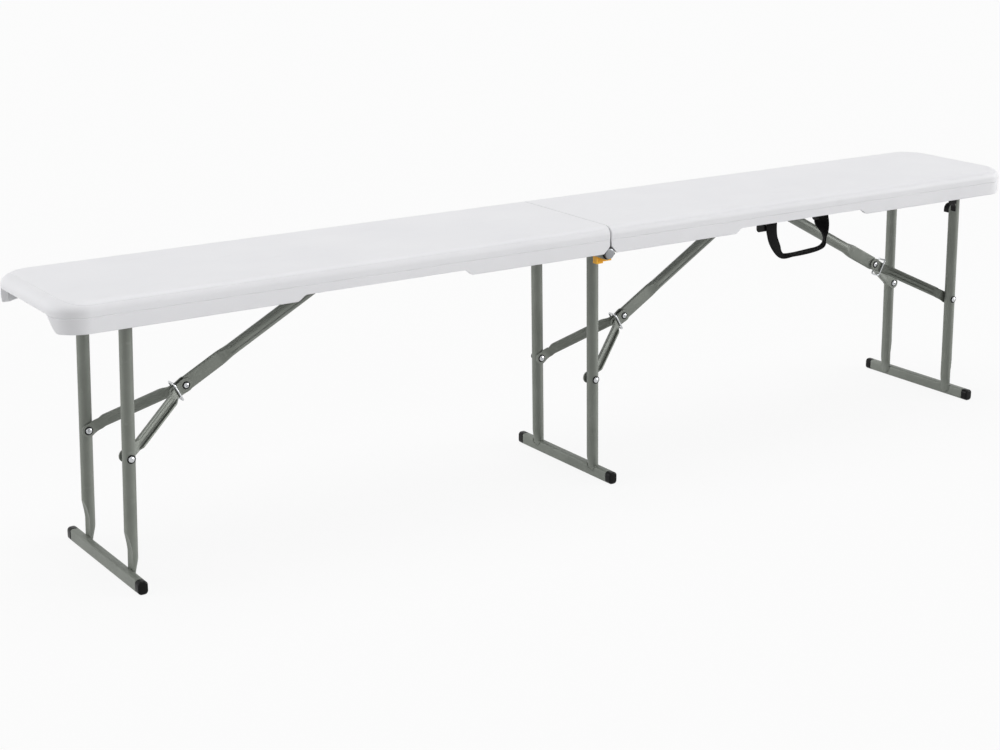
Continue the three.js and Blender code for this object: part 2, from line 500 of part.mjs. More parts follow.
// One leg frame with its brace, in a frame whose x points to the brace's upper bolt
function legFrame(name, spec, footEnd, turnedBack) {
  const isMid = spec === midLeg;
  const lean = spec.lean;
  const leg = {
    lean,
    pivotHeight: spec.pivotHeight,
    copeRadius: isMid ? rodRadius + gap : pivotTube.radius + gap,
    foot: footEnd,
    dent: spec.dent,
    barX: -Math.tan(rad(lean)) * (spec.pivotHeight - barCentre) + spec.barShift,
  };
  const frame = new THREE.Group();
  const sideName = (y) => ((turnedBack ? -y : y) < 0 ? 'front' : 'back');
  const addMesh = (parent, part, manifold, material) => parent.add(meshOf(`${name}_${part}`, manifold, material));

  // Legs, their pivots and the rivets of the arms
  const rivetX = -Math.sin(rad(lean)) * spec.rivetDrop;
  const rivetZ = spec.pivotHeight - Math.cos(rad(lean)) * spec.rivetDrop;
  const outerFace = legHalfSpacing + tubeRadius + gap;
  const armFace = legHalfSpacing - tubeRadius - gap;
  const legRivet = dome(rivetX, rivetZ, rivet.headRadius, rivet.headHeight, outerFace, 1, boreSides)
    .add(rod(rivetX, rivetZ, rivet.shank, armFace + gap, outerFace + rivet.headHeight / 4, smallSides));
  for (const y of [-legHalfSpacing, legHalfSpacing]) {
    const where = sideName(y);
    let tube = legTubeSolid(leg, spec).translate([0, y, 0]);
    if (isMid) {
      const [start, end] = [y - knuckle.length / 2, y + knuckle.length / 2];
      tube = tube.add(rod(0, spec.pivotHeight, knuckle.radius, start, end, tubeSides))
        .subtract(rod(0, spec.pivotHeight, rodRadius + gap, start - overrun, end + overrun));
    }
    addMesh(frame, `leg_tube_${where}`, tube, painted);
    addMesh(frame, `leg_rivet_${where}`, y > 0 ? legRivet : mirroredY(legRivet), zinc);
  }
  if (!isMid) {
    const crossTube = rod(0, spec.pivotHeight, pivotTube.radius, -pivotTube.halfLength, pivotTube.halfLength, tubeSides)
      .subtract(rod(0, spec.pivotHeight, pivotTube.radius - pivotTube.wall, -pivotTube.halfLength - overrun,
        pivotTube.halfLength + overrun));
    addMesh(frame, 'pivot_tube', crossTube, painted);
  }

  // Foot bar and its end caps
  const outline = (grow) => roundedRect(
    leg.barX, barCentre, bar.width + 2 * grow, bar.height + 2 * grow, bar.cornerRadius + grow, bar.cornerSteps);
  const footBar = alongY(outline(0), -bar.halfLength, bar.halfLength)
    .subtract(alongY(outline(-bar.wall), -bar.halfLength - overrun, bar.halfLength + overrun));
  addMesh(frame, 'foot_bar', footBar, painted);
  const capStart = bar.halfLength + gap;
  const capEnd = bar.halfLength + footCap.length;
  const capRing = (y, inset) => roundedRect(
    leg.barX, barCentre, footCap.width - 2 * inset, footCap.height - 2 * inset, footCap.cornerRadius - inset, bar.cornerSteps)
    .map(([x, z]) => [x, y, z]);
  const cap = loft([capRing(capStart, 0), capRing(capEnd - footCap.edge, 0),
    capRing(capEnd - footCap.edge * 0.3, footCap.edge * 0.3), capRing(capEnd, footCap.edge)])
    .add(alongY(outline(-bar.wall - gap), bar.halfLength - footCap.plugLength, capStart + footCap.edge));
  addMesh(frame, `foot_cap_${sideName(1)}`, cap, blackPlastic);
  addMesh(frame, `foot_cap_${sideName(-1)}`, mirroredY(cap), blackPlastic);

  // Brace: straight when the leg stands, doubled back with its elbow a little high when the leg is folded
  const stood = new THREE.Vector2(spec.braceRun - rivetX, bracket.pivotHeight - rivetZ);
  const foldedAngle = rad(spec.fold - lean);
  const folded = new THREE.Vector2(
    spec.braceRun - Math.sin(foldedAngle) * spec.rivetDrop,
    bracket.pivotHeight - spec.pivotHeight + Math.cos(foldedAngle) * spec.rivetDrop);
  const halfRise = Math.sqrt(stood.lengthSq() - folded.lengthSq()) / 2;
  const braceLength = (stood.length() + folded.length() * Math.sqrt(1 - (spec.elbowRise / halfRise) ** 2)) / 2;
  const armLength = stood.length() - braceLength;
  const brace = new THREE.Group();
  const toElbow = armLength / stood.length();
  brace.position.set(rivetX + stood.x * toElbow, 0, rivetZ + stood.y * toElbow);
  brace.rotation.y = -Math.atan2(stood.y, stood.x);
  frame.add(brace);
  addMesh(brace, 'brace_tube', braceSolid(braceLength), painted);
  const armPlate = armSolid(armLength);
  addMesh(brace, `arm_${sideName(1)}`, armPlate, painted);
  addMesh(brace, `arm_${sideName(-1)}`, mirroredY(armPlate), painted);
  const plateFace = braceEnd.halfThickness + arm.clearance + arm.sheet + gap;
  const elbow = dome(0, 0, elbowHead.radius, elbowHead.height, plateFace, 1, boreSides);
  const elbowRivet = elbow.add(mirroredY(elbow))
    .add(rod(0, 0, rivet.shank, -plateFace - elbowHead.height / 4, plateFace + elbowHead.height / 4, smallSides));
  addMesh(brace, 'elbow_rivet', elbowRivet, zinc);
  addMesh(brace, 'lock_ring', ringSolid(), zinc);
  const earFace = tubeRadius + gap * 2 + bracket.ear + gap;
  const head = dome(braceLength, 0, bolt.headRadius, bolt.headHeight, earFace, 1, smallSides);
  const boltSolid = head.add(mirroredY(head))
    .add(rod(braceLength, 0, bolt.shank, -earFace - bolt.headHeight / 4, earFace + bolt.headHeight / 4, smallSides));
  addMesh(brace, 'brace_bolt', boltSolid, zinc);
  frame.position.x = { left: leftPivot, mid: 0, right: rightPivot }[name];
  frame.rotation.z = turnedBack ? Math.PI : 0;
  return frame;
}

// Rod through all four hinge plates and both knuckles, headed at the front and capped at the back
function hingeMeshes() {
  const { radius, length, inner, edge } = hingeCap;
  const boreRadius = rodRadius + gap;
  const disc = turned([
    [0, inner], [radius, inner], [radius, inner + length - edge], [radius - edge, inner + length], [0, inner + length],
  ], 0, hingeHeight, tubeSides);
  const cap = disc.subtract(rod(0, hingeHeight, boreRadius, inner - overrun, rodHalfLength + gap));
  return [
    meshOf('hinge_rod', rod(0, hingeHeight, rodRadius, -inner - length / 2, rodHalfLength).add(mirroredY(disc)), zinc),
    meshOf('hinge_cap', cap, zinc),
  ];
}

// Flange bent out of the left front hinge plate, which the lock slides on
function lockGuide() {
  const plateOuter = gap - rail.webInner;
  const flange = box(guide.xMin, guide.xMax, guide.outer, plateOuter + hingePlate.thickness, guide.bottom,
    guide.bottom + guide.sheet);
  const lug = box(guide.lugXMin, guide.lugXMax, plateOuter, plateOuter + hingePlate.thickness, guide.bottom,
    hingePlate.bottom + overrun);
  return flange.add(lug);
}

function lockMesh() {
  const flangeTop = guide.bottom + guide.sheet;
  const slot = box(lock.hookMin - overrun, lock.xMax + overrun, guide.outer - gap, lock.yMax + overrun,
    guide.bottom - gap, flangeTop + gap);
  const slider = box(lock.xMin, lock.xMax, lock.yMin, lock.yMax, lock.zMin, lock.zMax)
    .add(box(lock.hookMin, lock.xMax, lock.yMin, lock.yMax, lock.hookBottom, lock.zMax))
    .add(box(lock.xMax - overrun, lock.tongueEnd, lock.tongueOuter, lock.tongueInner, lock.tongueBottom, lock.tongueTop))
    .subtract(slot);
  return meshOf('lock_slider', slider, yellowPlastic);
}

// Jaw open downwards, on a stem that lies on the inner face of the front rail
function clipMesh() {
  const [x, z] = [-leftPivot, 2 * hingeHeight - endLeg.pivotHeight];
  const outer = clip.jawRadius + clip.wall;
  const jaw = [
    ...arc(x, z, outer, 180, 0, smallSides), [x + outer, z - outer * 0.6], [x + clip.jawRadius, z - outer * 0.6],
    ...arc(x, z, clip.jawRadius, 0, 180, smallSides), [x - clip.jawRadius, z - outer * 0.6], [x - outer, z - outer * 0.6],
  ];
  const stemOuter = rail.webInner - gap;
  const stem = box(x - clip.stem / 2, x + clip.stem / 2, -stemOuter, clip.sheet - stemOuter, z + clip.jawRadius, clip.top);
  return meshOf('closing_clip', alongY(jaw, -clip.outer, -clip.inner).add(stem), blackPlastic);
}

function handleMeshes() {
  const [span, topZ] = [handle.right - handle.left, handle.top];
  const centres = handleShares.map(([across, down]) => new THREE.Vector2(handle.left + span * across, topZ - handle.drop * down));
  const rings = centres.map((centre, i) => {
    const last = i === centres.length - 1;
    const before = centres[Math.max(i - 1, 0)];
    const after = centres[Math.min(i + 1, centres.length - 1)];
    const along = i === 0 || last ? new THREE.Vector2(0, i === 0 ? -1 : 1) : after.clone().sub(before).normalize();
    const turn = rad(handleShares[i][2]);
    const across = new THREE.Vector3(-along.y * Math.cos(turn), Math.sin(turn), along.x * Math.cos(turn));
    const through = new THREE.Vector3(along.x, 0, along.y).cross(across);
    return [[-1, -1], [1, -1], [1, 1], [-1, 1]].map(([w, t]) => {
      const [a, b] = [w * handle.width / 2, t * handle.sheet / 2];
      return [centre.x + across.x * a + through.x * b, handle.y + across.y * a + through.y * b,
        centre.y + across.z * a + through.z * b];
    });
  });
  const front = handle.y + handle.sheet / 2 + gap;
  const anchor = ([x0, x1], foot) => alongY([
    ...arc(x0 + handle.anchorRound, foot + handle.anchorRound, handle.anchorRound, 180, 270, 4), [x1, foot],
    [x1, rail.bottom - gap], [x0, rail.bottom - gap],
  ], front, handle.anchorBack);
  return [
    meshOf('handle_strap', loft(rings), webbing),
    meshOf('handle_anchor_left', anchor(handle.leftAnchor, handle.leftAnchorFoot), blackPlastic),
    meshOf('handle_anchor_right', anchor(handle.rightAnchor, handle.rightAnchorFoot), blackPlastic),
  ];
}

const bench = new THREE.Group();
bench.add(...halfFrame('left'), ...halfFrame('right'), ...hingeMeshes(), lockMesh(), clipMesh(), ...handleMeshes());
bench.add(meshOf('brace_bracket_left', bracketSolid([leftPivot + endLeg.braceRun]), painted));
bench.add(meshOf('brace_bracket_right', bracketSolid([midLeg.braceRun, rightPivot - endLeg.braceRun]), painted));
bench.add(legFrame('left', endLeg, tongueFoot.end, false));
bench.add(legFrame('mid', midLeg, tongueFoot.mid, false));
bench.add(legFrame('right', endLeg, tongueFoot.end, true));

export default bench;
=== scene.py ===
import bpy
import bmesh
import math
from mathutils import Matrix, Vector


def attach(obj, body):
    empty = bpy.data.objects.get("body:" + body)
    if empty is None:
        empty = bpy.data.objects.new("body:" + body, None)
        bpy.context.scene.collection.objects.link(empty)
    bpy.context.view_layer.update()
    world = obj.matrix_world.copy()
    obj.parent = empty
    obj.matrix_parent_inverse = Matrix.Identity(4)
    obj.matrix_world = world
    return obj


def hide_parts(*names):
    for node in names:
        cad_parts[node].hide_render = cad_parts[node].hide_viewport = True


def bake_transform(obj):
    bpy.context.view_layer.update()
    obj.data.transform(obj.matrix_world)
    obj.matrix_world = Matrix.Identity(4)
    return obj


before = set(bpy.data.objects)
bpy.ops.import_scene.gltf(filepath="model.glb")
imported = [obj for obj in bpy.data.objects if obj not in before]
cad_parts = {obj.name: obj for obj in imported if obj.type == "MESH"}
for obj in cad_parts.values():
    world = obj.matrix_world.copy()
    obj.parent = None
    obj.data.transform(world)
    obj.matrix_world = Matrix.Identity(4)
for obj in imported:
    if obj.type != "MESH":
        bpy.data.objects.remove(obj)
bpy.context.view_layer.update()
print("frame loaded")

# Sizes are in millimetres, as in the part's source, and turn to metres when a mesh is made
metres = 0.001
gap = 0.3       # clearance between pieces
overrun = 2     # how far a cut runs past what it cuts


# Camera, first of all, at the angle of the photograph

camera = {"place": (-1.7944, -2.4712, 1.0631), "yaw": 0.5941, "pitch": 0.2891, "roll": 0.0021,
          "focus": 1912.4, "frameWidth": 1000, "sensor": 36.0, "reach": 50}


def linked(name, data):
    made = bpy.data.objects.new(name, data)
    bpy.context.scene.collection.objects.link(made)
    return made


def makeCamera(v):
    yaw, pitch, roll = v["yaw"], v["pitch"], v["roll"]
    ahead = Vector((math.sin(yaw) * math.cos(pitch), math.cos(yaw) * math.cos(pitch), -math.sin(pitch)))
    right = Vector((math.cos(yaw), -math.sin(yaw), 0))
    up = right.cross(ahead)
    rolledRight = right * math.cos(roll) + up * math.sin(roll)
    rolledUp = up * math.cos(roll) - right * math.sin(roll)
    data = bpy.data.cameras.new("photoCamera")
    data.sensor_width = v["sensor"]
    data.lens = v["focus"] * v["sensor"] / v["frameWidth"]
    data.clip_end = v["reach"]
    made = linked("photoCamera", data)
    turn = Matrix((rolledRight, rolledUp, -ahead)).transposed().to_4x4()
    made.matrix_world = Matrix.Translation(v["place"]) @ turn
    bpy.context.scene.camera = made


makeCamera(camera)
print("camera set")


# Shader nodes

def feed(tree, socket, value):
    # A socket takes another node's output or a plain value
    if isinstance(value, bpy.types.NodeSocket):
        tree.links.new(value, socket)
    else:
        socket.default_value = value


def addNode(tree, kind, inputs, **settings):
    node = tree.nodes.new("ShaderNode" + kind)
    for label, value in settings.items():
        setattr(node, label, value)
    for label, value in inputs.items():
        feed(tree, node.inputs[label], value)
    return node


def mathNode(tree, operation, first, second):
    return addNode(tree, "Math", {0: first, 1: second}, operation=operation).outputs[0]


def noiseNode(tree, where, scale, detail=2.0, roughness=0.5):
    inputs = {"Vector": where, "Scale": scale, "Detail": detail, "Roughness": roughness}
    return addNode(tree, "TexNoise", inputs).outputs["Fac"]


def rangeNode(tree, value, low, high, toLow=0.0, toHigh=1.0):
    inputs = {"Value": value, "From Min": low, "From Max": high, "To Min": toLow, "To Max": toHigh}
    return addNode(tree, "MapRange", inputs).outputs["Result"]


# Shader groups shared by the finishes; each gives heights and masks, and takes its scales from the material

def newGroup(name, inputs, outputs):
    group = bpy.data.node_groups.new(name, "ShaderNodeTree")
    for label, value in inputs.items():
        socket = group.interface.new_socket(name=label, in_out="INPUT", socket_type="NodeSocketFloat")
        socket.default_value = value
    for label in outputs:
        group.interface.new_socket(name=label, in_out="OUTPUT", socket_type="NodeSocketFloat")
    return group, group.nodes.new("NodeGroupInput").outputs, group.nodes.new("NodeGroupOutput").inputs


def objectPlace(tree):
    return addNode(tree, "TexCoord", {}).outputs["Object"]


def grainGroup():
    # Fine leathery grain with a slow swell under it
    group, given, wanted = newGroup(
        "surfaceGrain", {"Grain Scale": 900.0, "Swell Scale": 14.0, "Swell Share": 0.3}, ["Height", "Mask"])
    where = objectPlace(group)
    fine = noiseNode(group, where, given["Grain Scale"], detail=3.0, roughness=0.6)
    slow = noiseNode(group, where, given["Swell Scale"])
    share = mathNode(group, "MULTIPLY", slow, given["Swell Share"])
    feed(group, wanted["Height"], mathNode(group, "ADD", fine, share))
    feed(group, wanted["Mask"], slow)
    return group


hammer = {"warpScale": 180.0, "smoothness": 0.7, "ridgeLow": 0.25, "ridgeHigh": 0.75, "toneScale": 22.0}


def hammerGroup(v):
    # Pools and ridges of a hammered powder coat
    group, given, wanted = newGroup(
        "hammeredCoat", {"Cell Scale": 420.0, "Warp": 0.004}, ["Height", "Ridge Mask", "Tone Mask"])
    where = objectPlace(group)
    warp = addNode(group, "TexNoise", {"Vector": where, "Scale": v["warpScale"]}).outputs["Color"]
    shift = addNode(group, "VectorMath", {0: warp, "Scale": given["Warp"]}, operation="SCALE").outputs[0]
    shifted = addNode(group, "VectorMath", {0: where, 1: shift}, operation="ADD").outputs[0]
    inputs = {"Vector": shifted, "Scale": given["Cell Scale"], "Smoothness": v["smoothness"]}
    cells = addNode(group, "TexVoronoi", inputs, feature="SMOOTH_F1").outputs["Distance"]
    feed(group, wanted["Height"], cells)
    feed(group, wanted["Ridge Mask"], rangeNode(group, cells, v["ridgeLow"], v["ridgeHigh"]))
    feed(group, wanted["Tone Mask"], noiseNode(group, where, v["toneScale"], detail=3.0, roughness=0.6))
    return group


scuff = {"stretch": (0.35, 1.6, 1.0), "turn": (0.3, 0.2, 0.5), "markLow": 0.6, "markHigh": 0.78}


def scuffGroup(v):
    # Sparse handling marks, longer one way than the other
    group, given, wanted = newGroup("handlingMarks", {"Scale": 60.0, "Amount": 0.3}, ["Mask"])
    inputs = {"Vector": objectPlace(group), "Scale": v["stretch"], "Rotation": v["turn"]}
    stretched = addNode(group, "Mapping", inputs).outputs[0]
    marks = noiseNode(group, stretched, given["Scale"], detail=6.0, roughness=0.7)
    sparse = rangeNode(group, marks, v["markLow"], v["markHigh"])
    feed(group, wanted["Mask"], mathNode(group, "MULTIPLY", sparse, given["Amount"]))
    return group


weave = {"distortion": 0.6, "detail": 1.0, "threadTop": 0.8}


def weaveGroup(v):
    # Flat webbing: ribs across and a finer thread along
    group, given, wanted = newGroup(
        "webbingWeave", {"Rib Scale": 420.0, "Thread Scale": 560.0}, ["Height", "Mask"])
    where = addNode(group, "UVMap", {}).outputs["UV"]
    waves = []
    for direction, label in (("X", "Rib Scale"), ("Y", "Thread Scale")):
        inputs = {"Vector": where, "Scale": given[label]}
        inputs.update({"Distortion": v["distortion"], "Detail": v["detail"]})
        waves.append(addNode(group, "TexWave", inputs, bands_direction=direction).outputs["Fac"])
    height = mathNode(group, "MULTIPLY", *waves)
    feed(group, wanted["Height"], height)
    feed(group, wanted["Mask"], rangeNode(group, height, 0.0, v["threadTop"]))
    return group


groups = {"grain": grainGroup(), "hammer": hammerGroup(hammer), "scuff": scuffGroup(scuff),
          "weave": weaveGroup(weave)}
print("shader groups built")


# Finishes. Tones and roughness are pairs: the value where the mask is 0, and where it is 1

def linearColor(hexText):
    values = [int(hexText[i:i + 2], 16) / 255 for i in (0, 2, 4)]
    linear = [v / 12.92 if v <= 0.04045 else ((v + 0.055) / 1.055) ** 2.4 for v in values]
    return (*linear, 1.0)


class Finish:
    def __init__(self, name, metallic, specular):
        self.material = bpy.data.materials.new(name)
        self.material.use_nodes = True
        self.tree = self.material.node_tree
        self.shader = self.tree.nodes["Principled BSDF"]
        self.shader.inputs["Metallic"].default_value = metallic
        self.shader.inputs["Specular IOR Level"].default_value = specular

    def group(self, key, inputs):
        return addNode(self.tree, "Group", inputs, node_tree=groups[key]).outputs

    def marks(self, v):
        return self.group("scuff", {"Scale": v["markScale"], "Amount": v["markAmount"]})["Mask"]

    def mix(self, mask, first, second):
        return addNode(self.tree, "Mix", {"Factor": mask, 6: first, 7: second}, data_type="RGBA").outputs[2]

    def tone(self, v, mask, marks=None):
        color = self.mix(mask, *[linearColor(one) for one in v["tones"]])
        if marks:
            color = self.mix(marks, color, linearColor(v["mark"]))
        feed(self.tree, self.shader.inputs["Base Color"], color)

    def surface(self, v, glossMask, height):
        roughness = rangeNode(self.tree, glossMask, 0.0, 1.0, *v["roughness"])
        feed(self.tree, self.shader.inputs["Roughness"], roughness)
        inputs = {"Strength": v["bump"], "Distance": v["depth"], "Height": height}
        feed(self.tree, self.shader.inputs["Normal"], addNode(self.tree, "Bump", inputs).outputs["Normal"])


plasticLook = {"tones": ("ededef", "e7e7ea"), "mark": "dadadd", "metallic": 0.0, "specular": 0.4,
               "roughness": (0.42, 0.56), "grainScale": 1100.0, "swellScale": 9.0, "swellShare": 0.5,
               "markScale": 40.0, "markAmount": 0.35, "depth": 0.0002, "bump": 0.35}


def mouldedPlastic(v):
    finish = Finish("mouldedPlastic", v["metallic"], v["specular"])
    grain = finish.group("grain", {"Grain Scale": v["grainScale"], "Swell Scale": v["swellScale"],
                                   "Swell Share": v["swellShare"]})
    finish.tone(v, grain["Mask"], finish.marks(v))
    finish.surface(v, grain["Mask"], grain["Height"])
    return finish.material


paintLook = {"tones": ("858982", "70746d"), "mark": "9a9e97", "metallic": 0.2, "specular": 0.35,
             "roughness": (0.42, 0.52), "cellScale": 430.0, "warp": 0.003,
             "markScale": 90.0, "markAmount": 0.4, "depth": 0.0002, "bump": 0.15}


def hammeredPaint(v):
    finish = Finish("hammeredPaint", v["metallic"], v["specular"])
    coat = finish.group("hammer", {"Cell Scale": v["cellScale"], "Warp": v["warp"]})
    finish.tone(v, coat["Tone Mask"], finish.marks(v))
    finish.surface(v, coat["Ridge Mask"], coat["Height"])
    return finish.material


# What the plain finishes share; each look below gives the rest
plainLook = {"metallic": 0.0, "specular": 0.35, "swellScale": 60.0, "swellShare": 0.4,
             "markScale": 160.0, "markAmount": 0.5, "bump": 0.4}
zincLook = {"tones": ("dcdee0", "aaacae"), "metallic": 0.92, "roughness": (0.18, 0.3), "grainScale": 700.0,
            "depth": 0.00006}
dullLook = {"tones": ("9b9da0", "7e8082"), "metallic": 0.85, "roughness": (0.28, 0.4), "grainScale": 700.0,
            "depth": 0.00006}
# Black plastic of caps, clip and anchors; the same black also paints the shadow rings round rivet heads and
# the hinge disc
blackAndShadowLook = {"tones": ("0e0e0e", "080808"), "specular": 0.14, "roughness": (0.28, 0.42), "grainScale": 1300.0,
             "depth": 0.0001}
yellowLook = {"tones": ("ffc236", "f7ab20"), "roughness": (0.32, 0.46), "grainScale": 1300.0,
              "depth": 0.00008}


def plainFinish(name, look):
    v = {**plainLook, **look}
    finish = Finish(name, v["metallic"], v["specular"])
    grain = finish.group("grain", {"Grain Scale": v["grainScale"], "Swell Scale": v["swellScale"],
                                   "Swell Share": v["swellShare"]})
    finish.tone(v, grain["Mask"])
    finish.surface(v, finish.marks(v), grain["Height"])
    return finish.material


webbingLook = {"tones": ("050505", "141414"), "metallic": 0.0, "specular": 0.1, "roughness": (0.7, 0.9),
               "ribScale": 300.0, "threadScale": 420.0, "depth": 0.0004, "bump": 0.8}


def wovenWebbing(v):
    finish = Finish("blackWebbing", v["metallic"], v["specular"])
    threads = finish.group("weave", {"Rib Scale": v["ribScale"], "Thread Scale": v["threadScale"]})
    finish.tone(v, threads["Mask"])
    finish.surface(v, threads["Mask"], threads["Height"])
    return finish.material


# Each finish and the name of the slot that it belongs to
finishes = {
    "plastic": (mouldedPlastic(plasticLook), "moulded_plastic"),
    "paint": (hammeredPaint(paintLook), "painted_steel"),
    "zinc": (plainFinish("brightZinc", zincLook), "zinc_steel"),
    "dull": (plainFinish("dullZinc", dullLook), "zinc_steel"),
    # black is also the painted shadow round rivet heads and the hinge disc
    "black": (plainFinish("blackPlasticAndShadow", blackAndShadowLook), "black_plastic"),
    "yellow": (plainFinish("yellowPlastic", yellowLook), "yellow_plastic"),
    "webbing": (wovenWebbing(webbingLook), "black_webbing"),
}
print("finishes made")


# Mesh tools. A shape is a pair of lists: points and faces

def arcPoints(cx, cy, radius, fromDegrees, toDegrees, steps):
    turns = [math.radians(fromDegrees + (toDegrees - fromDegrees) * i / steps) for i in range(steps + 1)]
    return [(cx + radius * math.cos(t), cy + radius * math.sin(t)) for t in turns]


def roundedRect(cx, cy, width, height, radius, steps):
    a, b = width / 2 - radius, height / 2 - radius
    corners = ((a, -b, -90), (a, b, 0), (-a, b, 90), (-a, -b, 180))
    return [p for x, y, start in corners for p in arcPoints(cx + x, cy + y, radius, start, start + 90, steps)]


def smoothStep(t):
    return (1 - math.cos(math.pi * min(max(t, 0.0), 1.0))) / 2


def loft(rings, joined=False):
    count = len(rings[0])
    faces = []
    for k in range(len(rings) if joined else len(rings) - 1):
        n = (k + 1) % len(rings)
        for i in range(count):
            j = (i + 1) % count
            faces.append((k * count + i, k * count + j, n * count + j, n * count + i))
    if not joined:
        faces.append(tuple(reversed(range(count))))
        faces.append(tuple(range((len(rings) - 1) * count, len(rings) * count)))
    return [p for one in rings for p in one], faces


def circle(x, y, z, radius, sides):
    # Round an axis along Y
    turns = [2 * math.pi * i / sides for i in range(sides)]
    return [(x + radius * math.cos(t), y, z + radius * math.sin(t)) for t in turns]


def turned(profile, x, z, sides=32):
    # Solid turned piece on an axis along Y; profile points are (radius, y), the first and last on the axis
    verts, faces, starts = [], [], []
    for radius, y in profile:
        starts.append(len(verts))
        verts += circle(x, y, z, radius, sides) if radius else [(x, y, z)]
    for k in range(len(profile) - 1):
        a, b = starts[k], starts[k + 1]
        for i in range(sides):
            j = (i + 1) % sides
            if not profile[k][0]:
                faces.append((a, b + i, b + j))
            elif not profile[k + 1][0]:
                faces.append((a + j, a + i, b))
            else:
                faces.append((a + i, a + j, b + j, b + i))
    return verts, faces


def pinShape(x, z, radius, low, high, sides):
    return turned([(0, low), (radius, low), (radius, high), (0, high)], x, z, sides)


def turnedRing(profile, x, z, sides):
    # The profile's points are (radius, y) and close round the ring's wall
    return loft([circle(x, y, z, radius, sides) for radius, y in profile], joined=True)


def hollowTube(x, z, low, high, radius, bore, edge, sides):
    outside = [(radius - edge, low), (radius, low + edge), (radius, high - edge), (radius - edge, high)]
    return turnedRing(outside + [(bore, high), (bore, low)], x, z, sides)


def joinShapes(*shapes):
    verts, faces = [], []
    for points, sides in shapes:
        base = len(verts)
        verts += points
        faces += [tuple(base + i for i in one) for one in sides]
    return verts, faces


def moved(shape, mapping):
    verts, faces = shape
    return [mapping(p) for p in verts], faces


def prism(outline, low, high, axis="y"):
    # An outline of (a, b) run along an axis: x/z along y, y/z along x, x/y along z
    places = {"y": lambda a, b, c: (a, c, b), "x": lambda a, b, c: (c, a, b), "z": lambda a, b, c: (a, b, c)}
    return loft([[places[axis](a, b, c) for a, b in outline] for c in (low, high)])


def boxShape(x0, x1, y0, y1, z0, z1):
    return prism([(x0, y0), (x1, y0), (x1, y1), (x0, y1)], z0, z1, "z")


def sweepTube(points, radiusAt, sides, closed=False):
    # Round bead or wire along points; radiusAt gives the radius at a point's index
    path = [Vector(p) for p in points]
    count = len(path)
    rings, normal = [], None
    for i, here in enumerate(path):
        before = path[(i - 1) % count] if closed or i else here
        after = path[(i + 1) % count] if closed or i < count - 1 else here
        along = (after - before).normalized()
        if normal is None:
            normal = along.orthogonal().normalized()
        normal = (normal - along * normal.dot(along)).normalized()
        side = along.cross(normal)
        turns = [2 * math.pi * s / sides for s in range(sides)]
        rings.append([tuple(here + (normal * math.cos(t) + side * math.sin(t)) * radiusAt(i)) for t in turns])
    return loft(rings, joined=closed)


mesh = {"weld": 0.002, "bevelAngle": 50, "bevelSegments": 2}


def looseObject(name, shape):
    verts, faces = shape
    data = bpy.data.meshes.new(name)
    data.from_pydata([tuple(c * metres for c in p) for p in verts], [], faces)
    work = bmesh.new()
    work.from_mesh(data)
    bmesh.ops.remove_doubles(work, verts=work.verts, dist=mesh["weld"] * metres)
    bmesh.ops.recalc_face_normals(work, faces=work.faces)
    work.to_mesh(data)
    work.free()
    return linked(name, data)


def modified(piece, kind, **settings):
    change = piece.modifiers.new("change", kind)
    for label, value in settings.items():
        setattr(change, label, value)
    bpy.context.view_layer.update()
    ready = bpy.data.meshes.new_from_object(piece.evaluated_get(bpy.context.evaluated_depsgraph_get()))
    old = piece.data
    piece.modifiers.clear()
    piece.data = ready
    bpy.data.meshes.remove(old)


def combine(piece, shape, operation):
    other = looseObject("cutter", shape)
    modified(piece, "BOOLEAN", operation=operation, solver="EXACT", object=other)
    bpy.data.objects.remove(other)


def cut(piece, shape):
    combine(piece, shape, "DIFFERENCE")


def join(piece, shape):
    combine(piece, shape, "UNION")


def shadeByAngle(piece, degrees):
    work = bmesh.new()
    work.from_mesh(piece.data)
    for face in work.faces:
        face.smooth = True
    for edge in work.edges:
        edge.smooth = len(edge.link_faces) == 2 and edge.calc_face_angle(0) < math.radians(degrees)
    work.to_mesh(piece.data)
    work.free()


def finishPiece(piece, look, body, nodes=(), shade=35, bevel=0.0):
    material, slotName = finishes[look]
    if bevel:
        modified(piece, "BEVEL", width=bevel * metres, segments=mesh["bevelSegments"], limit_method="ANGLE",
                 angle_limit=math.radians(mesh["bevelAngle"]))
    piece.data.materials.clear()
    piece.data.materials.append(material)
    shadeByAngle(piece, shade)
    if bevel:
        modified(piece, "WEIGHTED_NORMAL", keep_sharp=True)
    if nodes:
        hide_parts(*nodes)
    if body:
        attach(piece, body)


def addPiece(name, shape, look, body, nodes=(), shade=35):
    finishPiece(looseObject(name, shape), look, body, nodes, shade)


# Seat halves, each built as the right one; the left one is turned half round

seat = {
    "length": 1830, "width": 252, "top": 430, "skirtBottom": 386.3, "seamGap": 1.2,
    "panel": 10, "sideWall": 7, "endWall": 10, "hingeWall": 6,
    "planRadius": 49, "innerPlanRadius": 40, "cornerSteps": 28,
    # Rounded edges: top, end, bottom and at the seam
    "edgeRadius": 14, "endEdge": 20, "edgeSteps": 9, "lowerEdge": 2, "lowerSteps": 4,
    "seamEdge": 2.4, "seamSteps": 6,
    # Groove of the mould's parting, and the fine line on the top edge, as angles round that edge
    "parting": 409, "partingDepth": 0.85, "partingHalf": 0.9,
    "lineFront": 38.8, "lineEnd": 86.6, "lineHalf": 3.0, "lineDepth": 0.5,
    "bevel": 0.9, "shade": 32,
}
# Rounding of the cavity's ceiling: below the panel, and in from the walls
ceilingRows = [(4, 0), (1.4, 0.5), (0.4, 1.2), (0, 2)]
cutouts = {
    "footStart": 257, "footEnd": 559, "footRamp": 17.5, "footFloor": 395.5, "rampSteps": 14,
    "gripHalf": 82, "gripRamp": 24, "gripFloor": 412.5, "gripDepth": 45,
    # At the hinge: the skirt's chamfer with its relief, and the room for the hinge plates
    "chamferRun": 13.5, "chamferTop": 398, "reliefTop": 417, "relief": {"left": 0.6, "right": 2.4},
    "voidTop": 414, "voidInner": 96,
}


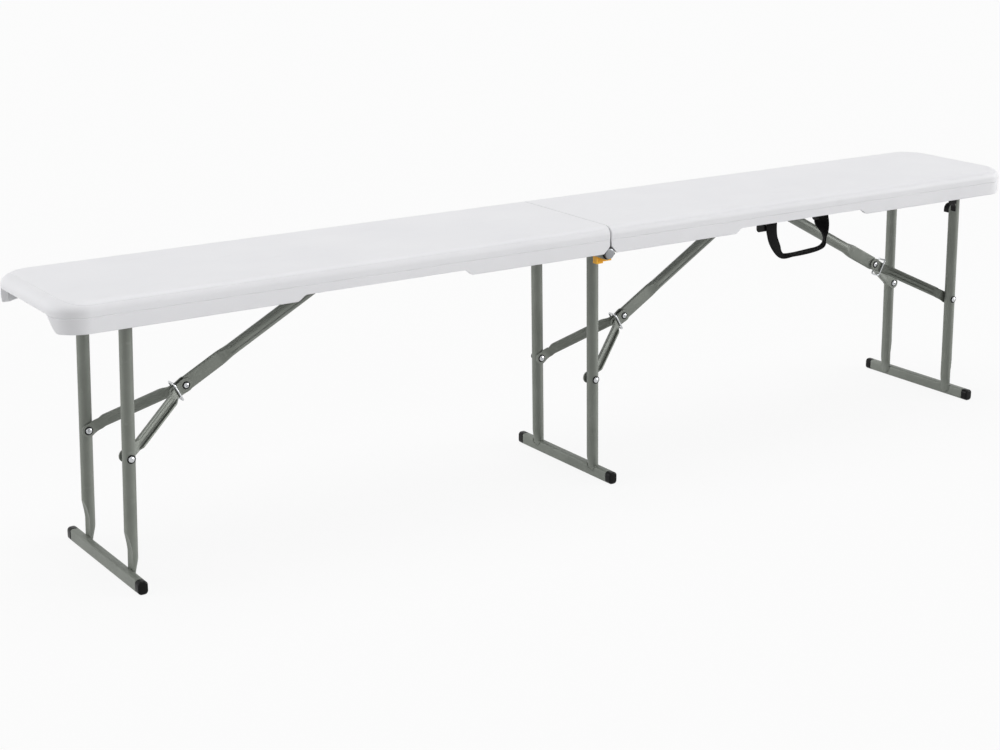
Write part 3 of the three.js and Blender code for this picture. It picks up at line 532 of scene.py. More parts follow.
def planPoints(roundedSeam):
    # Places round the open side of the plan: along the front, round both corners and back to the hinge
    steps, turns = seat["cornerSteps"], seat["seamSteps"]
    seam = [90 * i / turns for i in range(turns + 1)] if roundedSeam else [90]
    places = [("seam", -1, a) for a in seam]
    places += [("corner", -1, -90 + 90 * i / steps) for i in range(steps + 1)]
    places += [("corner", 1, 90 * i / steps) for i in range(steps + 1)]
    return places + [("seam", 1, a) for a in reversed(seam)]


def planPoint(place, inset, endInset, z, radius=seat["planRadius"]):
    kind, side, degrees = place
    halfLength, halfWidth = seat["length"] / 2 - endInset, seat["width"] / 2 - inset
    across, along = math.sin(math.radians(degrees)), math.cos(math.radians(degrees))
    if kind == "seam":
        edge = seat["seamEdge"]
        return (seat["seamGap"] / 2 + edge * (1 - along), side * (halfWidth - edge * (1 - across)), z)
    turn = radius - inset
    return (halfLength - turn + turn * along, side * (halfWidth - turn) + turn * across, z)


def lineAngle(place):
    kind, side, degrees = place
    share = 0 if kind == "seam" else smoothStep(1 - abs(degrees) / 90)
    return seat["lineFront"] + (seat["lineEnd"] - seat["lineFront"]) * share


def edgeRing(places, angleOf, depth=0.0):
    # One ring round the top edge, at an angle that each place gives
    made = []
    for place in places:
        angle = math.radians(angleOf(place))
        drawn, sunk = 1 - math.cos(angle), depth * math.cos(angle)
        z = seat["top"] - seat["edgeRadius"] + (seat["edgeRadius"] - depth) * math.sin(angle)
        made.append(planPoint(place, seat["edgeRadius"] * drawn + sunk, seat["endEdge"] * drawn + sunk, z))
    return made


def seatOuter():
    places, count, half = planPoints(True), seat["edgeSteps"], seat["lineHalf"]
    edge, parting = seat["lowerEdge"], seat["parting"]
    rows = []
    for i in range(seat["lowerSteps"] + 1):
        t = math.radians(90 * i / seat["lowerSteps"])
        rows.append((edge * (1 - math.sin(t)), seat["skirtBottom"] + edge * (1 - math.cos(t))))
    groove = seat["partingHalf"]
    rows += [(0, parting - groove), (seat["partingDepth"], parting), (0, parting + groove)]
    rings = [[planPoint(p, inset, inset, z) for p in places] for inset, z in rows]
    for i in range(count + 1):
        rings.append(edgeRing(places, lambda p: (lineAngle(p) - half) * i / count))
    rings.append(edgeRing(places, lineAngle, seat["lineDepth"]))
    for i in range(count + 1):
        rings.append(edgeRing(places, lambda p: lineAngle(p) + half + (90 - lineAngle(p) - half) * i / count))
    return loft(rings)


def seatCavity():
    places = planPoints(False)
    underside = seat["top"] - seat["panel"]
    rings = []
    ceiling = [(underside - drop, inset) for drop, inset in ceilingRows]
    for z, inset in [(seat["skirtBottom"] - overrun, 0)] + ceiling:
        ring = [planPoint(p, seat["sideWall"] + inset, seat["endWall"] + inset, z,
                          seat["innerPlanRadius"] + seat["sideWall"]) for p in places]
        seam = seat["seamGap"] / 2 + seat["hingeWall"]
        rings.append([(x if p[0] == "corner" else seam, y, z) for p, (x, y, z) in zip(places, ring)])
    return loft(rings)


def rampOutline(start, end, run, floor):
    steps, low = cutouts["rampSteps"], seat["skirtBottom"]
    ramp = [(run * i / steps, low + (floor - low) * smoothStep(i / steps)) for i in range(steps + 1)]
    outline = [(start + along, z) for along, z in ramp] + [(end - along, z) for along, z in reversed(ramp)]
    return [(start, low - overrun)] + outline + [(end, low - overrun)]


def seatHalf(side):
    half, low, top = seat["width"] / 2, seat["skirtBottom"], cutouts["chamferTop"]
    inside, start = half - seat["sideWall"], seat["seamGap"] / 2
    wallEnd = start + seat["hingeWall"] + overrun
    piece = looseObject(f"seat{side.title()}", seatOuter())
    cut(piece, seatCavity())
    cut(piece, boxShape(-overrun, wallEnd, -inside, inside, low - overrun, top))
    for near, far in ((-inside, -cutouts["voidInner"]), (cutouts["voidInner"], inside)):
        cut(piece, boxShape(-overrun, wallEnd, near, far, low - overrun, cutouts["voidTop"]))
    notch = rampOutline(cutouts["footStart"], cutouts["footEnd"], cutouts["footRamp"], cutouts["footFloor"])
    cut(piece, prism(notch, -half - overrun, half + overrun))
    reach, end = cutouts["gripHalf"] + cutouts["gripRamp"], seat["length"] / 2
    grip = rampOutline(-reach, reach, cutouts["gripRamp"], cutouts["gripFloor"])
    cut(piece, prism(grip, end - cutouts["gripDepth"], end + overrun, "x"))
    run, above = cutouts["chamferRun"], cutouts["reliefTop"]
    chamfer = [(-overrun, low - overrun), (run, low - overrun), (run, low),
               (start + cutouts["relief"][side], top), (start, above), (-overrun, above)]
    cut(piece, prism(chamfer, -half - overrun, half + overrun))
    if side == "left":
        piece.data.transform(Matrix.Rotation(math.pi, 4, "Z"))
    finishPiece(piece, "plastic", f"{side}_half", [f"seat_{side}"], seat["shade"], seat["bevel"])


for side in ("left", "right"):
    seatHalf(side)
print("seat halves built")


# Leg frames. Each is worked out with its pivot at x = 0 and its brace towards +X, and then put in its place

hinge = {"height": 386, "rod": 5, "rodHalf": 122, "rodLap": 1, "rodSides": 32, "discRadius": 8.5,
         "discLength": 6, "discEdge": 1.7, "edgeSteps": 5, "crownShare": 0.55, "crown": 0.1, "crownTop": 0.15,
         "sides": 48}
tube = {"radius": 9.5, "wall": 1.5, "spacing": 78, "sides": 40, "topDrop": 3}
pivot = {"radius": 7.5, "wall": 1.5, "half": 108, "edge": 0.4, "sides": 36}
knuckle = {"radius": 8.5, "length": 26, "edge": 0.5, "sides": 40}
bar = {"width": 14, "height": 19, "corner": 3.4, "half": 119, "edge": 0.6}
cap = {"width": 15.4, "height": 20, "corner": 5.7, "length": 13, "edge": 2.6, "edgeSteps": 6, "lip": 0.5,
       "plugInset": 1.8, "plugDepth": 3, "plugProud": 1, "plugSteps": 4}
barCentre = cap["height"] / 2
barTop = barCentre + bar["height"] / 2

# dent: how deep the tubes are pressed in at their ends; tuck: how far the wall away from the bar draws in;
# tubeEnd: height of the tubes' lower ends; fold: degrees that the frame folds by
legFrames = {
    "left": {"x": -799, "turned": False, "pivotHeight": 408.5, "lean": 1.7, "barShift": -6, "dent": 8.5,
             "rivetDrop": 222, "braceRun": 402, "fold": 89.5, "elbowRise": 5, "tubeEnd": 6, "tuck": 5.5},
    "mid": {"x": 0, "turned": False, "pivotHeight": 386, "lean": -1.14, "barShift": 2.5, "dent": 0,
            "rivetDrop": 218, "braceRun": 392, "fold": 88.3, "elbowRise": 0, "tubeEnd": 11, "tuck": 5},
    "right": {"x": 825, "turned": True, "pivotHeight": 408.5, "lean": 1.7, "barShift": -6, "dent": 8.5,
              "rivetDrop": 222, "braceRun": 402, "fold": 89.5, "elbowRise": 5, "tubeEnd": 6, "tuck": 5.5},
}


def frameMap(values):
    if values["turned"]:
        return lambda p: (values["x"] - p[0], -p[1], p[2])
    return lambda p: (values["x"] + p[0], p[1], p[2])


def sideName(values, y):
    return "front" if (y < 0) != values["turned"] else "back"


def leaned(values, x, y, s):
    # A point of the leg's own frame, s below the pivot along the tube
    lean = math.radians(values["lean"])
    drop = s * math.cos(lean) + x * math.sin(lean)
    return (x * math.cos(lean) - s * math.sin(lean), y, values["pivotHeight"] - drop)


def barPlace(values):
    slope = -math.tan(math.radians(values["lean"]))
    return slope * (values["pivotHeight"] - barCentre) + values["barShift"]


# Ends of the leg tubes: a facet where the bar of the other end frame lies when the bench is folded, hollow
# along its middle, and a tuck where the wall away from the bar closes onto it
foot = {"facet": 58, "full": 27.5, "depthShare": 0.92, "easing": 0.6, "hollow": 2.2, "hollowShare": 0.85,
        "spreadShare": 0.07, "tuck": 20, "tip": 0.2, "steps": 36, "endSteps": 10}


def facetDepth(values, above):
    t = min(max((foot["facet"] - above) / (foot["facet"] - foot["full"]), 0.0), 1.0)
    return values["dent"] * foot["depthShare"] * t * (1 + foot["easing"] * (1 - t))


def legTube(values, y):
    radius, halfBar = tube["radius"], bar["height"] / 2
    reach = (values["pivotHeight"] - values["tubeEnd"]) / math.cos(math.radians(values["lean"]))
    side = 1 if values["dent"] else -1
    toBar = values["pivotHeight"] - barTop
    upper, last = toBar - foot["facet"] - overrun, reach - radius
    stops = [tube["topDrop"]] + [upper + (last - upper) * i / foot["steps"] for i in range(foot["steps"] + 1)]
    stops += [reach - radius * (1 - math.sin(math.radians(90 * i / foot["endSteps"])))
              for i in range(1, foot["endSteps"] + 1)]

    def ringAt(wall, s):
        depth = facetDepth(values, toBar - s)
        share = depth / values["dent"] if values["dent"] else 0
        tuck = values["tuck"] * smoothStep(1 - (toBar - s + halfBar) / (foot["tuck"] + halfBar))
        near, far, free = radius - depth - wall, radius - tuck - wall, radius - wall
        clip = math.sqrt(max(radius ** 2 - (radius - min(reach - s, radius)) ** 2, foot["tip"] ** 2))
        made = []
        for i in range(tube["sides"]):
            t = 2 * math.pi * i / tube["sides"]
            across = free * math.sin(t) * (1 + foot["spreadShare"] * share)
            across = min(max(across, -clip), clip)
            hollow = foot["hollow"] * share * max(1 - (across / (radius * foot["hollowShare"])) ** 2, 0)
            along = free * math.cos(t) * side
            along = max(along * far / free if along > 0 else along, hollow - near)
            made.append(leaned(values, along * side, y + across, s))
        return made

    inner = [ringAt(tube["wall"], s) for s in reversed(stops)]
    return loft([ringAt(0, s) for s in stops] + inner, joined=True)


weld = {"thick": 1.15, "ripples": ((0.2, 2.3), (0.1, 5.1)), "off": 0.1, "proud": 0.3, "sink": 0.8,
        "pinch": 0.2, "topDrop": 0.4, "shoulder": 2, "topIn": 0.9, "steps": 15, "sides": 8}


def weldBead(values, y):
    # Bead round the tube's end where it laps the bar's face, open at the top
    outward = 1 if values["dent"] else -1
    face = barPlace(values) + outward * (bar["width"] / 2 + weld["off"])
    radius, top = tube["radius"] + weld["proud"], barTop - weld["topDrop"]
    centre = values["tubeEnd"] + radius - weld["sink"]

    def topPoints(side):
        inner = face - outward * weld["topIn"]
        return [(inner, y + side * radius, top), (face, y + side * radius, top - weld["shoulder"])]

    turns = [math.pi * i / weld["steps"] for i in range(weld["steps"] + 1)]
    under = [(face, y - radius * math.cos(t), centre - (radius - weld["pinch"]) * math.sin(t)) for t in turns]
    points = topPoints(-1) + [p for p in under if p[2] < top] + topPoints(1)[::-1]
    return sweepTube(points, lambda i: weld["thick"] + sum(a * math.sin(i * b) for a, b in weld["ripples"]),
                     weld["sides"])


def barSection(x, y, size, inset, steps=6):
    width, height = size["width"] - 2 * inset, size["height"] - 2 * inset
    return [(a, y, b) for a, b in roundedRect(x, barCentre, width, height, size["corner"] - inset, steps)]


def footBar(values):
    half, edge = bar["half"], bar["edge"]
    rows = [(-half, edge), (edge - half, 0), (half - edge, 0), (half, edge)]
    return loft([barSection(barPlace(values), y, bar, inset) for y, inset in rows])


def footCap(values, side):
    start, end, edge = bar["half"] + gap, bar["half"] + cap["length"], cap["edge"]
    rows = [(start, cap["lip"]), (start + cap["lip"], 0)]
    for i in range(cap["edgeSteps"] + 1):
        t = math.radians(90 * i / cap["edgeSteps"])
        rows.append((end - edge + edge * math.sin(t), edge * (1 - math.cos(t))))
    x = barPlace(values)
    plug = [barSection(x, side * y, bar, cap["plugInset"], cap["plugSteps"])
            for y in (bar["half"] - cap["plugDepth"], start + cap["plugProud"])]
    return joinShapes(loft([barSection(x, side * y, cap, inset) for y, inset in rows]), loft(plug))


# Rivets and bolts

# sink: how deep a head starts in its clearance; the keys ending in Off: from there to the black ring of
# painted shadow round the head; radius and elbowRadius: that ring's outer radius
rivet = {"shank": 3, "sides": 16, "radius": 6.5, "head": 4.7, "legHeight": 3.2, "legSink": 0.5,
         "legRingOff": 0.2, "armHeight": 2.4, "armRingOff": 0.1, "elbowRadius": 6.1, "elbowHead": 4.1,
         "elbowHeight": 2.1, "elbowSink": 0.4, "elbowDeeper": 0.3}
# Heads stand on a narrow neck, so that a thin shadow lies round them; the dimple is the rolled end of a shank
head = {"neck": 0.5, "neckShare": 0.82, "lip": 0.25, "steps": 8, "sides": 28, "dimple": 1.5, "rimShare": 1.3}
# Rows: share of the dimple's radius, share of the head's height
dimpleShares = ((1.1, 0.97), (1.0, 0.9), (0.8, 0.35), (0.0, 0.3))
# Flat black ring that a head sits in: painted shadow round the rivet head
headShadow = {"thick": 0.5, "edge": 0.25, "boreShare": 0.84, "sides": 32}
bolt = {"shank": 4, "radius": 7, "height": 4}
bracket = {"pivotHeight": 405.5, "ear": 2.5}


def headShape(x, z, radius, height, y, direction, dimpled=False):
    low = head["neck"] + head["lip"]
    narrow = radius * head["neckShare"]
    profile = [(0, 0), (narrow, 0), (narrow, head["neck"])]
    for i in range(head["steps"]):
        t = math.radians(90 * i / head["steps"])
        profile.append((radius * math.cos(t), low + (height - low) * math.sin(t)))
    if dimpled:
        rim = head["dimple"] * head["rimShare"]
        profile = [p for p in profile if p[0] > rim or p[1] == 0]
        profile += [(head["dimple"] * a, height * b) for a, b in dimpleShares]
    else:
        profile.append((0, height))
    return turned([(r, y + direction * rise) for r, rise in profile], x, z, head["sides"])


# Painted shadow: a flat black ring round a rivet head
def headShadowShape(x, z, y, direction, outer, headRadius):
    bore, edge, thick = headRadius * headShadow["boreShare"], headShadow["edge"], headShadow["thick"]
    profile = [(bore, 0), (outer, 0), (outer, thick - edge), (outer - edge, thick), (bore, thick)]
    return turnedRing([(r, y + direction * rise) for r, rise in profile], x, z, headShadow["sides"])


# Folding braces, each in a frame of its own: the elbow at 0, the upper bolt on +X, the leg's rivets on -X

brace = {"flat": 62, "round": 88, "halfHeight": 12, "halfThickness": 3, "sides": 48, "steps": 14,
         "leadShare": 0.06, "endStops": (-12, -9, -6, -3, 0), "tongueReach": 26, "tongueHalf": 7,
         "tongueEnd": 11.5, "tongueGap": 0.3, "tongueEdge": 0.6, "tongueRun": 40}
# Long pressed recess with a rounded end, along the upper part of each side
recess = {"depth": 1.5, "low": -1.5, "high": 7.2, "middle": 2.5, "half": 5, "side": 4, "start": 70,
          "startRamp": 3.5, "end": 34, "endRamp": 10}
# Rows at the two ends of the brace tube: place along it, inset of its section
braceStart = [(12, 1.4), (3.3, 1.5), (3, 0.4), (3.4, 0)]
braceEnd = [(-6, 0), (5, 0), (8, 1.4), (9.2, 4)]
ring = {"wire": 1.5, "sides": 14, "halfWidth": 9.2, "halfHeight": 15.5, "corner": 3.6, "cornerSteps": 8,
        "place": -15.9}
arm = {
    "sheet": 2.5, "clearance": 0.4, "straight": 14, "legFlat": 14, "halfHeight": 8.7, "spread": 3.0,
    "tip": 0.1,
    # Rounded ends: radius, how far the round goes, and the half height where it ends
    "elbowRadius": 10.5, "elbowRound": 3.6, "elbowShoulder": 9.86, "necking": 17,
    "legRadius": 10, "legRound": 4.2, "legShoulder": 9.07,
    "flange": 7, "flangeStart": 21, "flangeTaper": 12, "flangeLead": 2, "flangeTail": 6, "leastFlange": 0.3,
    "bendRadius": 2.4, "bendSteps": 4,
    "flatShare": 0.86, "edgeStepShare": 0.028, "edgeSteps": 5,
    "bead": 1.5, "beadHalf": 4.2, "beadInset": 12, "beadRamp": 6, "beadMost": 0.95,
    "endSteps": 10, "flatSteps": 5, "middleSteps": 44,
}
# Rows across an arm's web: share of the bead's half width, share of its rise
beadShares = [(-1, 0), (-0.78, 0.3), (-0.56, 0.9), (-0.28, 1), (0, 1), (0.28, 1), (0.56, 0.9), (0.78, 0.3),
              (1, 0)]


def braceFrame(values):
    # Lengths with which the elbow is straight at rest and doubles back when the frame is folded
    lean, drop = math.radians(values["lean"]), values["rivetDrop"]
    rivetX, rivetZ = -math.sin(lean) * drop, values["pivotHeight"] - math.cos(lean) * drop
    stood = Vector((values["braceRun"] - rivetX, bracket["pivotHeight"] - rivetZ))
    folded = math.radians(values["fold"]) - lean
    closed = Vector((values["braceRun"] - math.sin(folded) * drop,
                     bracket["pivotHeight"] - values["pivotHeight"] + math.cos(folded) * drop))
    halfRise = math.sqrt(stood.length_squared - closed.length_squared) / 2
    length = (stood.length + closed.length * math.sqrt(1 - (values["elbowRise"] / halfRise) ** 2)) / 2
    armLength = stood.length - length
    share = armLength / stood.length
    return {"x": rivetX + stood.x * share, "z": rivetZ + stood.y * share, "arm": armLength, "length": length,
            "angle": math.atan2(stood.y, stood.x), "rivetX": rivetX, "rivetZ": rivetZ}


def braceMap(values, made):
    outer = frameMap(values)
    c, s = math.cos(made["angle"]), math.sin(made["angle"])
    return lambda p: outer((made["x"] + p[0] * c - p[2] * s, p[1], made["z"] + p[0] * s + p[2] * c))


def braceTube(length):
    # Round tube pressed flat towards the elbow; the flat narrows to a point where the tube turns round
    span = brace["round"] - brace["flat"]

    def section(x, shrink=0.0):
        t = smoothStep((x - brace["flat"]) / span)
        half = brace["halfThickness"] + (tube["radius"] - brace["halfThickness"]) * t - shrink
        flat = (brace["halfHeight"] - brace["halfThickness"]) * (1 - t)
        made = []
        for i in range(brace["sides"]):
            angle = 2 * math.pi * (i + 0.5) / brace["sides"]
            y, z = half * math.cos(angle), half * math.sin(angle) + math.copysign(flat, math.sin(angle))
            if not shrink and recess["low"] < z < recess["high"] and abs(y) > recess["side"]:
                start = recess["start"] + (z - recess["middle"]) ** 2 / recess["half"]
                share = smoothStep((x - start) / recess["startRamp"])
                share *= smoothStep((length - recess["end"] - x) / recess["endRamp"])
                y -= math.copysign(recess["depth"] * share, y)
            made.append((x, y, z))
        return made

    steps, half, edge = brace["steps"], brace["tongueHalf"], brace["tongueEdge"]
    lead = brace["leadShare"]
    rows = braceStart + [(brace["flat"] + span * (i / steps - lead), 0) for i in range(steps + 3)]
    rows += [(length - recess["end"] + x, 0) for x in brace["endStops"]]
    rows += [(length + x, inset) for x, inset in braceEnd]
    outline = arcPoints(half - brace["tongueReach"], 0, half, 90, 270, steps)
    outline += [(brace["tongueEnd"], -half), (brace["tongueEnd"], half)]
    depth = brace["halfThickness"] - brace["tongueGap"]
    tongue = [[(x * (1 - inset / brace["tongueRun"]), y, z * (1 - inset / half)) for x, z in outline]
              for y, inset in ((-depth, edge), (edge - depth, 0), (depth - edge, 0), (depth, edge))]
    return joinShapes(loft([section(x, inset) for x, inset in rows]), loft(tongue))


def armPlate(length):
    # Pressed channel arm on the +Y side: flat round ends, flanges turned outwards between them
    straight, legFlat, thick = -arm["straight"], arm["legFlat"], arm["sheet"] / 2
    elbowY = brace["halfThickness"] + arm["clearance"] + thick
    legY = tube["spacing"] - tube["radius"] - gap - thick
    bend = legFlat - length
    flangeEnd = bend + arm["flangeStart"] / 2

    def centre(x):
        share = min(max((x - straight) / (bend - straight), 0), 1)
        return elbowY + (legY - elbowY) * share

    def softCentre(x):
        samples = [centre(x + arm["spread"] * k / 3) for k in range(-3, 4)]
        return sum(samples) / len(samples)

    def flange(x):
        rise = smoothStep((arm["flangeLead"] - x - arm["flangeStart"]) / arm["flangeTaper"])
        fall = smoothStep((x - flangeEnd + arm["flangeTail"]) / arm["flangeTaper"])
        return arm["flange"] * min(rise, fall)

    def bead(x):
        rise = smoothStep((straight - arm["beadInset"] - x) / arm["beadRamp"])
        fall = smoothStep((x - bend - arm["beadInset"]) / arm["beadRamp"])
        return arm["bead"] * min(rise, fall)

    def halfHeight(x):
        if x > -arm["elbowRound"]:
            return math.sqrt(max(arm["elbowRadius"] ** 2 - x ** 2, arm["tip"] ** 2))
        if x > -arm["necking"]:
            share = (x + arm["necking"]) / (arm["necking"] - arm["elbowRound"])
            return arm["halfHeight"] + (arm["elbowShoulder"] - arm["halfHeight"]) * share
        if x > bend:
            return arm["halfHeight"]
        if x + length < arm["legRound"]:
            return math.sqrt(max(arm["legRadius"] ** 2 - (x + length) ** 2, arm["tip"] ** 2))
        share = (x + length - arm["legRound"]) / (legFlat - arm["legRound"])
        return arm["legShoulder"] + (arm["halfHeight"] - arm["legShoulder"]) * share

    ends, flats, middle = arm["endSteps"], arm["flatSteps"], arm["middleSteps"]
    quarter = [math.sin(math.radians(90 * i / ends)) for i in range(ends + 1)]
    stops = [arm["elbowRadius"] * t for t in reversed(quarter[1:])]
    stops += [straight * i / flats for i in range(1, flats + 1)]
    stops += [straight + (bend - straight) * i / middle for i in range(1, middle)]
    stops += [bend - legFlat * i / flats for i in range(flats)]
    stops += [-length - arm["legRadius"] * t for t in quarter]

    def ringAt(x):
        y, h, f, rise = softCentre(x), halfHeight(x), flange(x), bead(x)
        bent = f > arm["leastFlange"]
        r0 = min(arm["bendRadius"], f)
        flat = h - r0 - thick if bent else h * arm["flatShare"]
        beadHalf = min(arm["beadHalf"], flat * arm["beadMost"])
        count = arm["bendSteps"] if bent else arm["edgeSteps"]

        def skin(shift):
            # One face of the sheet, from the lower flange's tip to the upper one's
            if bent:
                r = r0 + shift
                turns = [math.radians(90 * k / count) for k in range(count + 1)]
                side = [(y + f, flat + r)]
                side += [(y + r0 - r * math.sin(t), flat + r * math.cos(t)) for t in turns]
            else:
                side = [(y + f - shift, h)]
                side += [(y + f * (1 - k / count) - shift, h * (1 - arm["edgeStepShare"] * k))
                         for k in range(count)]
            web = [(y - shift + rise * up, share * beadHalf) for share, up in beadShares]
            return [(a, -b) for a, b in side] + web + side[::-1]

        return [(x, a, b) for a, b in skin(thick) + skin(-thick)[::-1]]

    return loft([ringAt(x) for x in stops])


def legSide(add, name, values, made, y):
    # Tube, weld, rivet and foot cap on one side of a frame
    outward, body, height = math.copysign(1, y), f"{name}_leg", values["pivotHeight"]
    where = sideName(values, y)
    shapes = [legTube(values, y)]
    if not values["dent"]:
        half, bore = knuckle["length"] / 2, hinge["rod"] + gap
        shapes.append(hollowTube(0, height, y - half, y + half, knuckle["radius"], bore, knuckle["edge"],
                                 knuckle["sides"]))
    add(f"LegTube{where.title()}", joinShapes(*shapes), "paint", body, f"leg_tube_{where}", 40)
    add(f"LegWeld{where.title()}", weldBead(values, y), "paint", body, shade=35)
    at, inside = (made["rivetX"], made["rivetZ"]), outward * (tube["spacing"] - tube["radius"])
    outside = outward * (tube["spacing"] + tube["radius"] + gap)
    face = outside - outward * rivet["legSink"]
    # Black ring round the rivet head: painted shadow
    shadowFace = face + outward * rivet["legRingOff"]
    add(f"LegRivetRing{where.title()}", headShadowShape(*at, shadowFace, outward, rivet["radius"], rivet["head"]),
        "black", body)
    shank = pinShape(*at, rivet["shank"], inside, outside, rivet["sides"])
    shape = joinShapes(headShape(*at, rivet["head"], rivet["legHeight"], face, outward), shank)
    add(f"LegRivet{where.title()}", shape, "zinc", body, f"leg_rivet_{where}")
    add(f"FootCap{where.title()}", footCap(values, outward), "black", body, f"foot_cap_{where}", 40)


def pinned(x, radius, height, face, shank, deeper=0.0, dimpled=False):
    # A pin across the brace with a head on each side
    heads = [headShape(x, 0, radius, height, sign * face, sign, dimpled) for sign in (-1, 1)]
    return joinShapes(*heads, pinShape(x, 0, shank, -face - deeper, face + deeper, rivet["sides"]))


def buildBrace(add, name, values, made):
    arms, length, reach = f"{name}_arms", made["length"], made["arm"]
    add("BraceTube", braceTube(length), "paint", f"{name}_brace", "brace_tube", 40)
    wide, high = ring["halfWidth"] * 2, ring["halfHeight"] * 2
    outline = roundedRect(0, 0, wide, high, ring["corner"], ring["cornerSteps"])
    points = [(ring["place"], y, z) for y, z in outline]
    wire = sweepTube(points, lambda i: ring["wire"], ring["sides"], closed=True)
    add("LockRing", wire, "zinc", f"{name}_ring", "lock_ring", 60)
    face = tube["spacing"] - tube["radius"] - gap - arm["sheet"]
    shadowFace, headWide = face + rivet["armRingOff"], rivet["head"]
    for sign in (-1, 1):
        where = sideName(values, sign)
        # The first part is a black ring of painted shadow round the rivet head
        parts = (
            ("ArmRivetRing", headShadowShape(-reach, 0, shadowFace, -1, rivet["radius"], headWide), "black", 50),
            ("ArmRivet", headShape(-reach, 0, headWide, rivet["armHeight"], face, -1, True), "zinc", 50),
            ("Arm", armPlate(reach), "paint", 42),
        )
        for label, shape, look, shade in parts:
            flipped = moved(shape, lambda p: (p[0], p[1] * sign, p[2]))
            node = f"arm_{where}" if label == "Arm" else None
            add(label + where.title(), flipped, look, arms, node, shade)
    plate = brace["halfThickness"] + arm["clearance"] + arm["sheet"] + gap - rivet["elbowSink"]
    wide, headWide = rivet["elbowRadius"], rivet["elbowHead"]
    # Black rings round both elbow rivet heads: painted shadow
    rings = [headShadowShape(0, 0, sign * plate, sign, wide, headWide) for sign in (-1, 1)]
    add("ElbowRivetRings", joinShapes(*rings), "black", arms)
    shape = pinned(0, headWide, rivet["elbowHeight"], plate, rivet["shank"], rivet["elbowDeeper"], True)
    add("ElbowRivet", shape, "zinc", arms, "elbow_rivet")
    ear = tube["radius"] + gap * 2 + bracket["ear"]
    shape = pinned(length, bolt["radius"], bolt["height"], ear, bolt["shank"])
    add("BraceBolt", shape, "zinc", "left_half" if name == "left" else "right_half", "brace_bolt")


def adder(name, mapping):
    def add(label, shape, look, body, node=None, shade=50):
        nodes = [f"{name}_{node}"] if node else ()
        addPiece(name + label, moved(shape, mapping), look, body, nodes, shade)
    return add


def buildLegFrame(name, values):
    made = braceFrame(values)
    add, body = adder(name, frameMap(values)), f"{name}_leg"
    for y in (-tube["spacing"], tube["spacing"]):
        legSide(add, name, values, made, y)
    add("FootBar", footBar(values), "paint", body, "foot_bar", 40)
    if values["dent"]:
        shape = hollowTube(0, values["pivotHeight"], -pivot["half"], pivot["half"], pivot["radius"],
                           pivot["radius"] - pivot["wall"], pivot["edge"], pivot["sides"])
        add("PivotTube", shape, "paint", body, "pivot_tube", 40)
    buildBrace(adder(name, braceMap(values, made)), name, values, made)


for name, values in legFrames.items():
    buildLegFrame(name, values)
print("leg frames built")


# Centre hinge: the rod with its head in front and the cap behind

def hingeEnd(name, node, sign):
    inner = seat["width"] / 2 - seat["sideWall"] + gap
    end, height = inner + hinge["discLength"], hinge["height"]
    r, edge = hinge["discRadius"], hinge["discEdge"]
    profile = [(0, inner), (r, inner)]
    for i in range(hinge["edgeSteps"] + 1):
        t = math.radians(90 * i / hinge["edgeSteps"])
        profile.append((r - edge * (1 - math.cos(t)), end - edge + edge * math.sin(t)))
    profile += [(r * hinge["crownShare"], end + hinge["crown"]), (0, end + hinge["crownTop"])]
    shapes = [turned([(a, sign * y) for a, y in profile], 0, height, hinge["sides"])]
    if name == "hingeRod":
        start = -inner - hinge["rodLap"]
        shapes.append(pinShape(0, height, hinge["rod"], start, hinge["rodHalf"], hinge["rodSides"]))
    addPiece(name, joinShapes(*shapes), "dull", "hinge", [node], 40)


hingeEnd("hingeRod", "hinge_rod", -1)
hingeEnd("hingeCap", "hinge_cap", 1)

lock = {
    "xMin": -19.8, "xMax": -7, "zMin": 370, "zMax": 391.6, "yMin": -116, "yMax": -106.3, "bevel": 0.7,
    # Hook that carries the lock on the hinge plate's flange, its slot, and the tongue at the catch pin
    "hookMin": -46, "hookBottom": 386.9, "inset": 0.01, "lap": 1, "slotBottom": 386.3, "slotTop": 389.4,
    "slotOuter": -114.6, "tongueLap": 4,
    "tongueEnd": 10, "tongueBottom": 372.5, "tongueTop": 376.5, "tongueOuter": -115, "tongueInner": -109,
    "ribs": 3, "ribStep": 3.6, "ribStart": 2.4, "ribWidth": 1.4, "ribDepth": 0.8, "ribFoot": 2.5, "ribTop": 3,
}


def lockSlider(v):
    block = boxShape(v["xMin"], v["xMax"], v["yMin"], v["yMax"], v["zMin"], v["zMax"])
    piece = looseObject("lockSlider", block)
    join(piece, boxShape(v["hookMin"], v["xMax"] - v["lap"], v["yMin"] + v["inset"], v["yMax"] - v["inset"],
                         v["hookBottom"], v["zMax"] - v["inset"]))
    join(piece, boxShape(v["xMax"] - v["tongueLap"], v["tongueEnd"], v["tongueOuter"], v["tongueInner"],
                         v["tongueBottom"], v["tongueTop"]))
    cut(piece, boxShape(v["hookMin"] - overrun, v["xMax"] + overrun, v["slotOuter"], v["yMax"] + overrun,
                        v["slotBottom"], v["slotTop"]))
    for i in range(v["ribs"]):
        x = v["xMin"] + v["ribStart"] + i * v["ribStep"]
        cut(piece, boxShape(x, x + v["ribWidth"], v["yMin"] - overrun, v["yMin"] + v["ribDepth"],
                            v["zMin"] + v["ribFoot"], v["hookBottom"] - v["ribTop"]))
    finishPiece(piece, "yellow", "lock", ["lock_slider"], bevel=v["bevel"])


lockSlider(lock)

plateCut = {"xMin": -80, "xMax": -15, "yMin": -130, "zMin": 380, "zMax": 396}


def lockPlate(node, v):
    # Left front hinge plate, whose flange ends inside the slot of the lock
    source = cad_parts[node]
    data = source.data.copy()
    data.transform(source.matrix_world)
    piece = linked("hingePlateLeftFront", data)
    cut(piece, boxShape(v["xMin"], v["xMax"], v["yMin"], lock["slotOuter"] + gap, v["zMin"], v["zMax"]))
    finishPiece(piece, "paint", "left_half", [node])


lockPlate("hinge_plate_left_front", plateCut)
